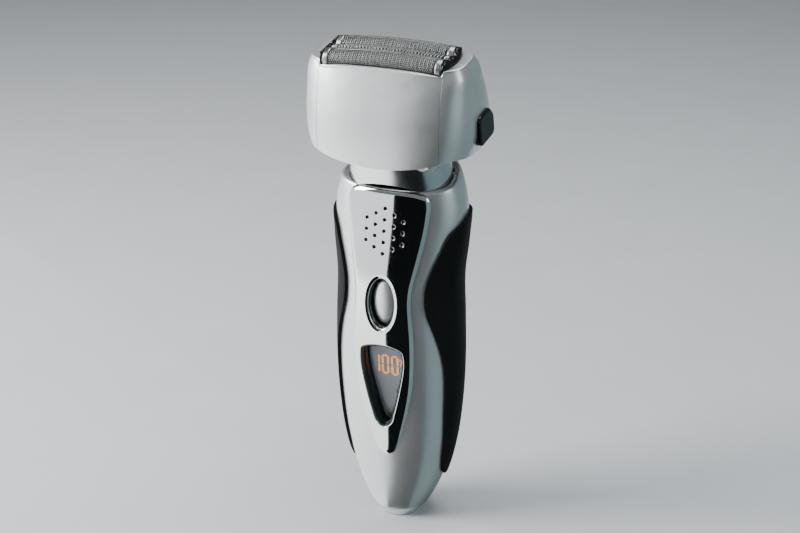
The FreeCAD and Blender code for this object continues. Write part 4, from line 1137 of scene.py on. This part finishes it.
def carve(obj, places, radius):
    """Cuts round scoops, given in the head's frame, out of a closed mesh."""
    cutters = [ball(from_head(np.array(place)), radius, MAT["silver"]) for place in places]
    for cutter in cutters:
        add_modifier(obj, "BOOLEAN", operation="DIFFERENCE", object=cutter, solver="EXACT")
    graph = bpy.context.evaluated_depsgraph_get()
    mesh = bpy.data.meshes.new_from_object(obj.evaluated_get(graph))
    obj.modifiers.clear()
    obj.data = mesh
    for cutter in cutters:
        bpy.data.objects.remove(cutter)
    mesh.set_sharp_from_angle(angle=math.radians(38))


# ---------------------------------------------------------------- head pieces
def head_point(angle, z, inset=0.0):
    """Point on the head's surface in its own frame, at an angle about its axis."""
    half, front, back = sizes_at(HEAD_STATIONS, z)
    behind = np.sin(angle) > 0
    power = np.where(behind, HEAD_BACK_CURVE, HEAD_FRONT_CURVE)
    r = ray_length(angle, half - inset, np.where(behind, back, front) - inset, power)
    return r * np.cos(angle), r * np.sin(angle)


def seam_angle(z, gap):
    """Angle at the head's right end where the halves meet."""
    target = HEAD_SEAM_Y - (z - HEAD_SEAM_Z) * HEAD_SEAM_LEAN + gap
    return solve(lambda angle: head_point(angle, z)[1], target,
                 np.full(z.shape, -SEAM_SEARCH), np.full(z.shape, SEAM_SEARCH))


def groove_angle(z, x, rear):
    """Angle at which the head's front or rear face reaches x."""
    half, front, back = sizes_at(HEAD_STATIONS, z)
    power, depth = (HEAD_BACK_CURVE, back) if rear else (HEAD_FRONT_CURVE, front)
    y = depth * (1 - (x / half) ** power) ** (1 / power)
    return np.arctan2(y if rear else -y, x)


def skirt_height(x, y):
    """Lower edge of the head's shell."""
    wide, high = SKIRT_END
    rise = high - SKIRT_CENTRE_Z
    r = (wide ** 2 + rise ** 2) / (2 * rise)
    arch = SKIRT_CENTRE_Z + r - np.sqrt(r * r - np.minimum(np.abs(x), wide) ** 2)
    return np.maximum(arch - SKIRT_FALL * (y - SKIRT_FRONT_Y), SKIRT_REAR_Z)


def lip_height(x):
    """Upper edge of the head's shell: arched lip, then a shoulder at each end."""
    x = np.abs(x)
    arch = LIP_Z + LIP_ARCH * (1 - np.clip(x / LIP_HALF, 0, 1) ** 2)
    t = np.clip((x - LIP_HALF) / (SHOULDER[0] - LIP_HALF), 0, 1)
    return arch + (SHOULDER[1] - LIP_Z) * t * t * (3 - 2 * t)


def make_frame_half(rear):
    """Half of the silver foil frame, with a fine groove beside each corner."""
    # Each column: the part it belongs to, from the left end (0) over the grooves (1 and 3)
    # and the face (2) to the right end (4), its share of that part and its inset.
    end_share = np.concatenate([np.linspace(0, 0.994, 88), [0.998, 1]])
    face_share = np.concatenate([[0, 0.0015], np.linspace(0.004, 0.996, 106), [0.9985, 1]])
    end_tuck = np.array([1.0, 0.16, 0.05, 0.01])
    end_count, face_count = len(end_share), len(face_share)
    end_columns = len(end_tuck) + end_count
    part = np.repeat(range(5), (end_columns, 2, face_count, 2, end_columns))
    share = np.concatenate([[0, 0, 0, 0.002], 0.004 + 0.996 * end_share, [0, 1], face_share,
                            [0, 1], 0.996 * (1 - end_share[::-1]), [0.998, 1, 1, 1]])
    groove = [GROOVE_DEPTH, GROOVE_DEPTH]
    tuck = np.concatenate([end_tuck, np.zeros(end_count), groove, np.zeros(face_count),
                           groove, np.zeros(end_count), end_tuck[::-1]])
    straight = math.pi if rear else -math.pi

    def angles(z):
        """Angles of all columns from the left seam to the right one."""
        end = seam_angle(z, HEAD_SEAM_GAP if rear else -HEAD_SEAM_GAP)
        near = groove_angle(z, GROOVE_X - GROOVE_HALF, rear)
        far = groove_angle(z, GROOVE_X + GROOVE_HALF, rear)
        stops = [straight - end, straight - far, straight - near, near, far, end]
        low, high = np.choose(part, stops[:-1]), np.choose(part, stops[1:])
        return low + share * (high - low)

    rows = []
    for t in np.concatenate([[0.0, 0.004], np.linspace(0.012, 1, 80)]):
        z = np.full(len(part), HEAD_MIDDLE_Z)
        for _ in range(7):
            x, y = head_point(angles(z), z)
            foot = skirt_height(x, y)
            z = foot + t * (lip_height(x) - LIP_ROUND - foot)
        x, y = head_point(angles(z), z, tuck)
        rows.append(np.c_[x, y, z])
    first, top = rows[0], rows[-1]
    under = [first * (*shrink, 1) + (0, 0, up) for shrink, up in SKIRT_HEM]
    edge = opening_edge(part, share, rear)
    after = []
    for a in np.radians((22, 45, 67, 90)):
        row = top.copy()
        towards = edge - top[:, :2]
        reach = np.linalg.norm(towards, axis=1, keepdims=True)
        inwards = np.minimum(LIP_ROUND * (1 - math.cos(a)), LIP_REACH * reach)
        row[:, :2] += towards / reach * inwards
        row[:, 2] += LIP_ROUND * math.sin(a)
        after.append(row)
    crest = after[-1]
    for t in (0.3, 0.6, 0.85, 0.97, 1.0):
        row = crest.copy()
        row[:, :2] += (edge - crest[:, :2]) * t
        row[:, 2] -= LIP_FALL * t * t
        after.append(row)
    after[-1][:, 2] -= LIP_STEP
    for down in (0.4, 3.5):
        after.append(np.c_[edge, crest[:, 2] - down])
    name = "foil_frame_rear" if rear else "foil_frame_front"
    grid = from_head(np.stack(under + rows + after))
    obj = sheet_grid(name + "_shell", grid, MAT["silver"], flip=rear)
    obj.data.set_sharp_from_angle(angle=math.radians(42))
    return finish_piece(obj, "foil_frame", "silver", name)


def opening_edge(part, share, rear):
    """Points of the foil opening's edge that belong to the columns of a frame half."""
    x, y = OPENING_HALF
    r = (y * y + (OPENING_BOW - x) ** 2) / (2 * (OPENING_BOW - x))
    seam = HEAD_SEAM_Y - (SHOULDER[1] - HEAD_SEAM_Z) * HEAD_SEAM_LEAN
    side = y if rear else -y
    out = np.zeros((len(part), 2))
    for k, (which, t) in enumerate(zip(part, share)):
        if which in (1, 2, 3):
            out[k] = {1: -x, 2: -x + 2 * x * t, 3: x}[which], side
        else:
            across = side + (seam - side) * (t if which == 4 else 1 - t)
            bowed = OPENING_BOW - r + math.sqrt(r * r - across * across)
            out[k] = bowed if which == 4 else -bowed, across
    return out


def rounded_polygon(corners, radius, count=110):
    """Evenly spaced points on an anticlockwise polygon with round corners."""
    corners = np.array(corners, float)
    loop = []
    for k, corner in enumerate(corners):
        before = corners[k - 1] - corner
        after = corners[(k + 1) % len(corners)] - corner
        sides = np.linalg.norm(before), np.linalg.norm(after)
        reach = min(radius, CORNER_SHARE * min(sides))
        a, b = corner + before / sides[0] * reach, corner + after / sides[1] * reach
        loop += [(1 - t) ** 2 * a + 2 * t * (1 - t) * corner + t * t * b
                 for t in np.linspace(0, 1, 6)]
    ring = np.array(loop + loop[:1])
    run = np.r_[0, np.cumsum(np.linalg.norm(np.diff(ring, axis=0), axis=1))]
    at = np.linspace(0, run[-1], count, endpoint=False)
    return np.c_[np.interp(at, run, ring[:, 0]), np.interp(at, run, ring[:, 1])]


def make_release_button(side):
    """Glossy black push button that stands out of the head's end."""
    outline = rounded_polygon(RELEASE_OUTLINE, RELEASE_CORNER)

    def place(yz, depth):
        x = np.full(len(yz), side * (RELEASE_FACE_X - depth))
        return from_head(np.c_[x, yz[:, 0], yz[:, 1]])

    name = "release_button_right" if side > 0 else "release_button_left"
    obj = plate(name + "_cap", outline, [], place, MAT["black_gloss"], RELEASE_ROLL,
                RELEASE_DEPTH, 0.0, 0.8)
    body = "release_right" if side > 0 else "release_left"
    return finish_piece(obj, body, "black_gloss", name)


def profile_point(y, v, radius, crown, foot):
    """Point across a foil: v runs from -1 at the front foot over the crown to 1."""
    arc = math.pi * radius
    leg = crown - radius - foot
    total = arc + 2 * leg
    s = (np.asarray(v) + 1) / 2 * total
    angle = np.clip((s - leg) / radius, 0, math.pi)
    yy = y - radius * np.cos(angle)
    zz = crown - radius + radius * np.sin(angle)
    zz = zz - np.maximum(leg - s, 0) - np.maximum(s - leg - arc, 0)
    return yy, zz


def make_outer_foil(y, name):
    """Arched foil with real hexagonal holes, plain ends and plain skirts."""
    leg = FOIL_CROWN_Z - FOIL_R - FOIL_SKIRT_Z
    half_v = (math.pi * FOIL_R + 2 * leg) / 2
    half_u = FOIL_HALF_LENGTH

    def place(u, v, lift=0.0):
        """Point at a length u along the foil and v across it."""
        yy, zz = profile_point(y, v / half_v, FOIL_R + lift, FOIL_CROWN_Z + lift, FOIL_SKIRT_Z)
        return np.stack([u, yy, zz - bow_drop(u)], axis=-1)

    points, faces = [], []
    corner = np.radians(np.arange(6) * 60 + 30)
    corner_r = HOLE_PITCH / math.sqrt(3)
    row_pitch = HOLE_PITCH * ROW_SHARE
    skirt = leg - HOLES_BELOW
    rows = int((2 * half_v - 2 * skirt) / row_pitch)
    columns = int((2 * half_u - 2 * FOIL_END) / HOLE_PITCH)
    for r in range(rows):
        v = (r - (rows - 1) / 2) * row_pitch
        for c in range(columns - r % 2):
            u = (c - (columns - 1) / 2 + (r % 2) / 2) * HOLE_PITCH
            start = len(points)
            for radius in (corner_r, corner_r * HOLE_SHARE):
                points += list(place(u + radius * np.cos(corner), v + radius * np.sin(corner)))
            for k in range(6):
                n = (k + 1) % 6
                faces.append((start + k, start + n, start + 6 + n, start + 6 + k))

    def strip(u_range, v_range, across, along, lift):
        """Plain part of the foil that overlaps the outermost holes a little."""
        u, v = np.meshgrid(np.linspace(*u_range, across), np.linspace(*v_range, along))
        faces.extend(grid_faces(along, across, start=len(points)))
        points.extend(place(u, v, lift).reshape(-1, 3))

    edge_v = half_v - skirt - SKIRT_LAP
    for v_range in ((-half_v, -edge_v), (edge_v, half_v)):
        strip((-half_u, half_u), v_range, 60, 10, -STRIP_LIFT)
    edge_u = half_u - FOIL_END - END_LAP
    for u_range in ((-half_u, -edge_u), (edge_u, half_u)):
        strip(u_range, (-half_v, half_v), 5, 50, STRIP_LIFT)
    obj = new_object(f"outer_foil_{name}_mesh", from_head(points), faces, MAT["foil_steel"])
    merge_points(obj)
    thicken(obj, FOIL_THICK)
    return finish_piece(obj, "foil_" + name, "foil_steel", "outer_foil_" + name)


def merge_points(obj, distance=0.01):
    """Joins points that lie closer than a distance in millimetres."""
    with edited(obj.data) as bm:
        bmesh.ops.remove_doubles(bm, verts=bm.verts, dist=distance * MM)


def make_slit_foil():
    """Narrow foil of slanted bars between two rails."""
    side = [(SLIT_HALF, FOIL_SKIRT_Z)]
    side += [(SLIT_HALF - inset, SLIT_CROWN_Z - down) for inset, down in SLIT_SHOULDER]
    profile = [(-y, z) for y, z in side] + [(0, SLIT_CROWN_Z)] + side[::-1]
    line = np.array(profile)
    run = np.r_[0, np.cumsum(np.linalg.norm(np.diff(line, axis=0), axis=1))]
    total = run[-1]
    points, faces = [], []

    def strip(u_low, u_high, s_low, s_high, across, along, slant=0.0):
        """Patch of the foil: u runs along it and s across it."""
        s = np.linspace(s_low, s_high, along)[:, None]
        lean = slant * ((s - s_low) / (s_high - s_low) - 0.5)
        u = np.linspace(u_low, u_high, across)[None, :] + lean
        s = s + 0 * u
        y, z = np.interp(s, run, line[:, 0]), np.interp(s, run, line[:, 1])
        faces.extend(grid_faces(along, across, start=len(points)))
        points.extend(np.stack([u, y, z - bow_drop(u)], axis=-1).reshape(-1, 3))

    rail = run[1] - SLIT_LAP
    half = FOIL_HALF_LENGTH
    strip(-half, half, 0, rail, 60, 4)
    strip(-half, half, total - rail, total, 60, 4)
    strip(-half, SLIT_END - half, 0, total, 4, 30)
    strip(half - SLIT_END, half, 0, total, 4, 30)
    count = int(2 * (half - SLIT_END) / SLIT_PITCH)
    for k in range(count):
        u = (k - (count - 1) / 2) * SLIT_PITCH
        strip(u - SLIT_BAR / 2, u + SLIT_BAR / 2, rail - SLIT_LAP, total - rail + SLIT_LAP,
              3, 22, SLIT_SLANT)
    obj = new_object("slit_foil_comb", from_head(points), faces, MAT["foil_steel"])
    thicken(obj, SLIT_THICK)
    return finish_piece(obj, "foil_slit", "foil_steel", "slit_foil")


# ---------------------------------------------------------------- assembly
# CAD nodes that show, which get softened edges.
SOFT_EDGED = ("foil_cassette", "neck_nubs", "trimmer_carriage", "trimmer_rail", "housing_screws",
              "charging_inlet", "head_base", "head_cover")
WELD_DISTANCE = 0.005
CAD_EDGE = 0.15


def dress_cad_nodes():
    """Gives every CAD node its slot's material, and those in SOFT_EDGED smooth shading and soft
    edges.
    """
    for row in frame["record"]["subparts"]:
        obj = frame["nodes"][row["node"]]
        obj.data.materials.clear()
        obj.data.materials.append(MAT[row["material_slot"]])
        if row["node"] in SOFT_EDGED:
            for polygon in obj.data.polygons:
                polygon.use_smooth = True
            add_modifier(obj, "WELD", merge_threshold=WELD_DISTANCE * MM)
            soften(obj, CAD_EDGE, 2, 32)


def look_from(obj, place, target):
    """Puts a camera or lamp at a place and turns it to its target."""
    obj.location = place
    obj.rotation_mode = "QUATERNION"
    obj.rotation_quaternion = (Vector(target) - Vector(place)).to_track_quat("-Z", "Y")
    bpy.context.scene.collection.objects.link(obj)


def make_camera():
    """Camera at the photo's angle, above and to the right of the front."""
    azimuth, elevation = math.radians(24.5), math.radians(20.5)
    target = Vector((-0.0004, 0.0, 0.0865))
    distance = 0.52
    back = Vector((math.sin(azimuth) * math.cos(elevation),
                   -math.cos(azimuth) * math.cos(elevation), math.sin(elevation)))
    data = bpy.data.cameras.new("camera")
    data.sensor_width = 36.0
    data.lens = 72.9
    data.clip_start, data.clip_end = 0.01, 20.0
    camera = bpy.data.objects.new("camera", data)
    look_from(camera, target + back * distance, target)
    bpy.context.scene.camera = camera


def make_floor():
    """Pale floor, wide enough to fill every view."""
    n = Nodes("pale_floor")
    n.set(Specular_IOR_Level=0.2)
    n.link(n.mix(n.spread(n.noise(30.0, 5.0), 0.0, 1.0), (0.60, 0.62, 0.64), (0.63, 0.65, 0.67)),
           "Base Color")
    n.link(n.spread(n.noise(400.0, 3.0), 0.55, 0.7), "Roughness")
    corners = [(x * FLOOR_HALF, y * FLOOR_HALF, 0)
               for x, y in ((-1, -1), (1, -1), (1, 1), (-1, 1))]
    new_object("floor", corners, [(0, 1, 2, 3)], n.material)


def make_world():
    """Even pale light from all round."""
    world = bpy.data.worlds.new("world")
    world.use_nodes = True
    background = world.node_tree.nodes["Background"]
    background.inputs["Color"].default_value = (0.78, 0.86, 0.90, 1)
    background.inputs["Strength"].default_value = 0.22
    bpy.context.scene.world = world


def lamp(name, place, width, height, power, colour):
    """Soft rectangular lamp that points at the shaver."""
    data = bpy.data.lights.new(name, "AREA")
    data.shape = "RECTANGLE"
    data.size, data.size_y = width, height
    data.energy = power
    data.color = colour
    look_from(bpy.data.objects.new(name, data), place, LAMP_TARGET)


def reflector(name, start, stop, colour, glow):
    """Studio card that only reflections see: a sector of the floor and a wall beyond it."""
    turns = np.radians(np.linspace(start, stop, 24))
    grid = np.array([[(r * math.sin(a), -r * math.cos(a), z) for a in turns]
                     for r, z in CARD_PROFILE])
    n = Nodes(name)
    n.set(Base_Color=colour, Roughness=0.9, Specular_IOR_Level=0.0,
          Emission_Color=colour, Emission_Strength=glow)
    card = sheet_grid(name, grid, n.material)
    card.visible_camera = False
    card.visible_diffuse = False
    card.visible_shadow = False
    card.visible_transmission = False


# Cards stand between two angles about Z, measured from the front towards the right.
CARD_PROFILE = [(9.0, 0.6), (30.0, 0.6), (90.0, 1.0), (200.0, 1.0), (330.0, 1.0),
                (460.0, 2.0), (480.0, 60.0), (480.0, 230.0)]
FLOOR_HALF = 3000.0
LAMP_TARGET = (0, 0, 0.08)

make_camera()
make_floor()
make_world()
reflector("dark_card", -19.0, 42.0, (0.004, 0.005, 0.005), 0.0)
reflector("cool_card", 42.0, 165.0, (0.12, 0.165, 0.17), 0.05)
reflector("white_card", -120.0, -19.0, (0.85, 0.86, 0.86), 0.45)
lamp("key", (-0.60, -0.36, 0.40), 0.40, 0.6, 11.0, (1.0, 1.0, 1.0))
lamp("top", (0.05, 0.1, 0.8), 0.6, 0.6, 5.0, (0.95, 0.98, 1.0))
lamp("fill", (0.7, -0.25, 0.3), 0.3, 0.5, 1.2, (0.85, 0.95, 1.0))
dress_cad_nodes()
make_housings()
for hand in (1, -1):
    make_grip(hand)
    make_release_button(hand)
make_panel()
make_button()
make_display()
make_neck()
make_frame_half(False)
make_frame_half(True)
make_outer_foil(-FOIL_Y, "front")
make_outer_foil(FOIL_Y, "rear")
make_slit_foil()
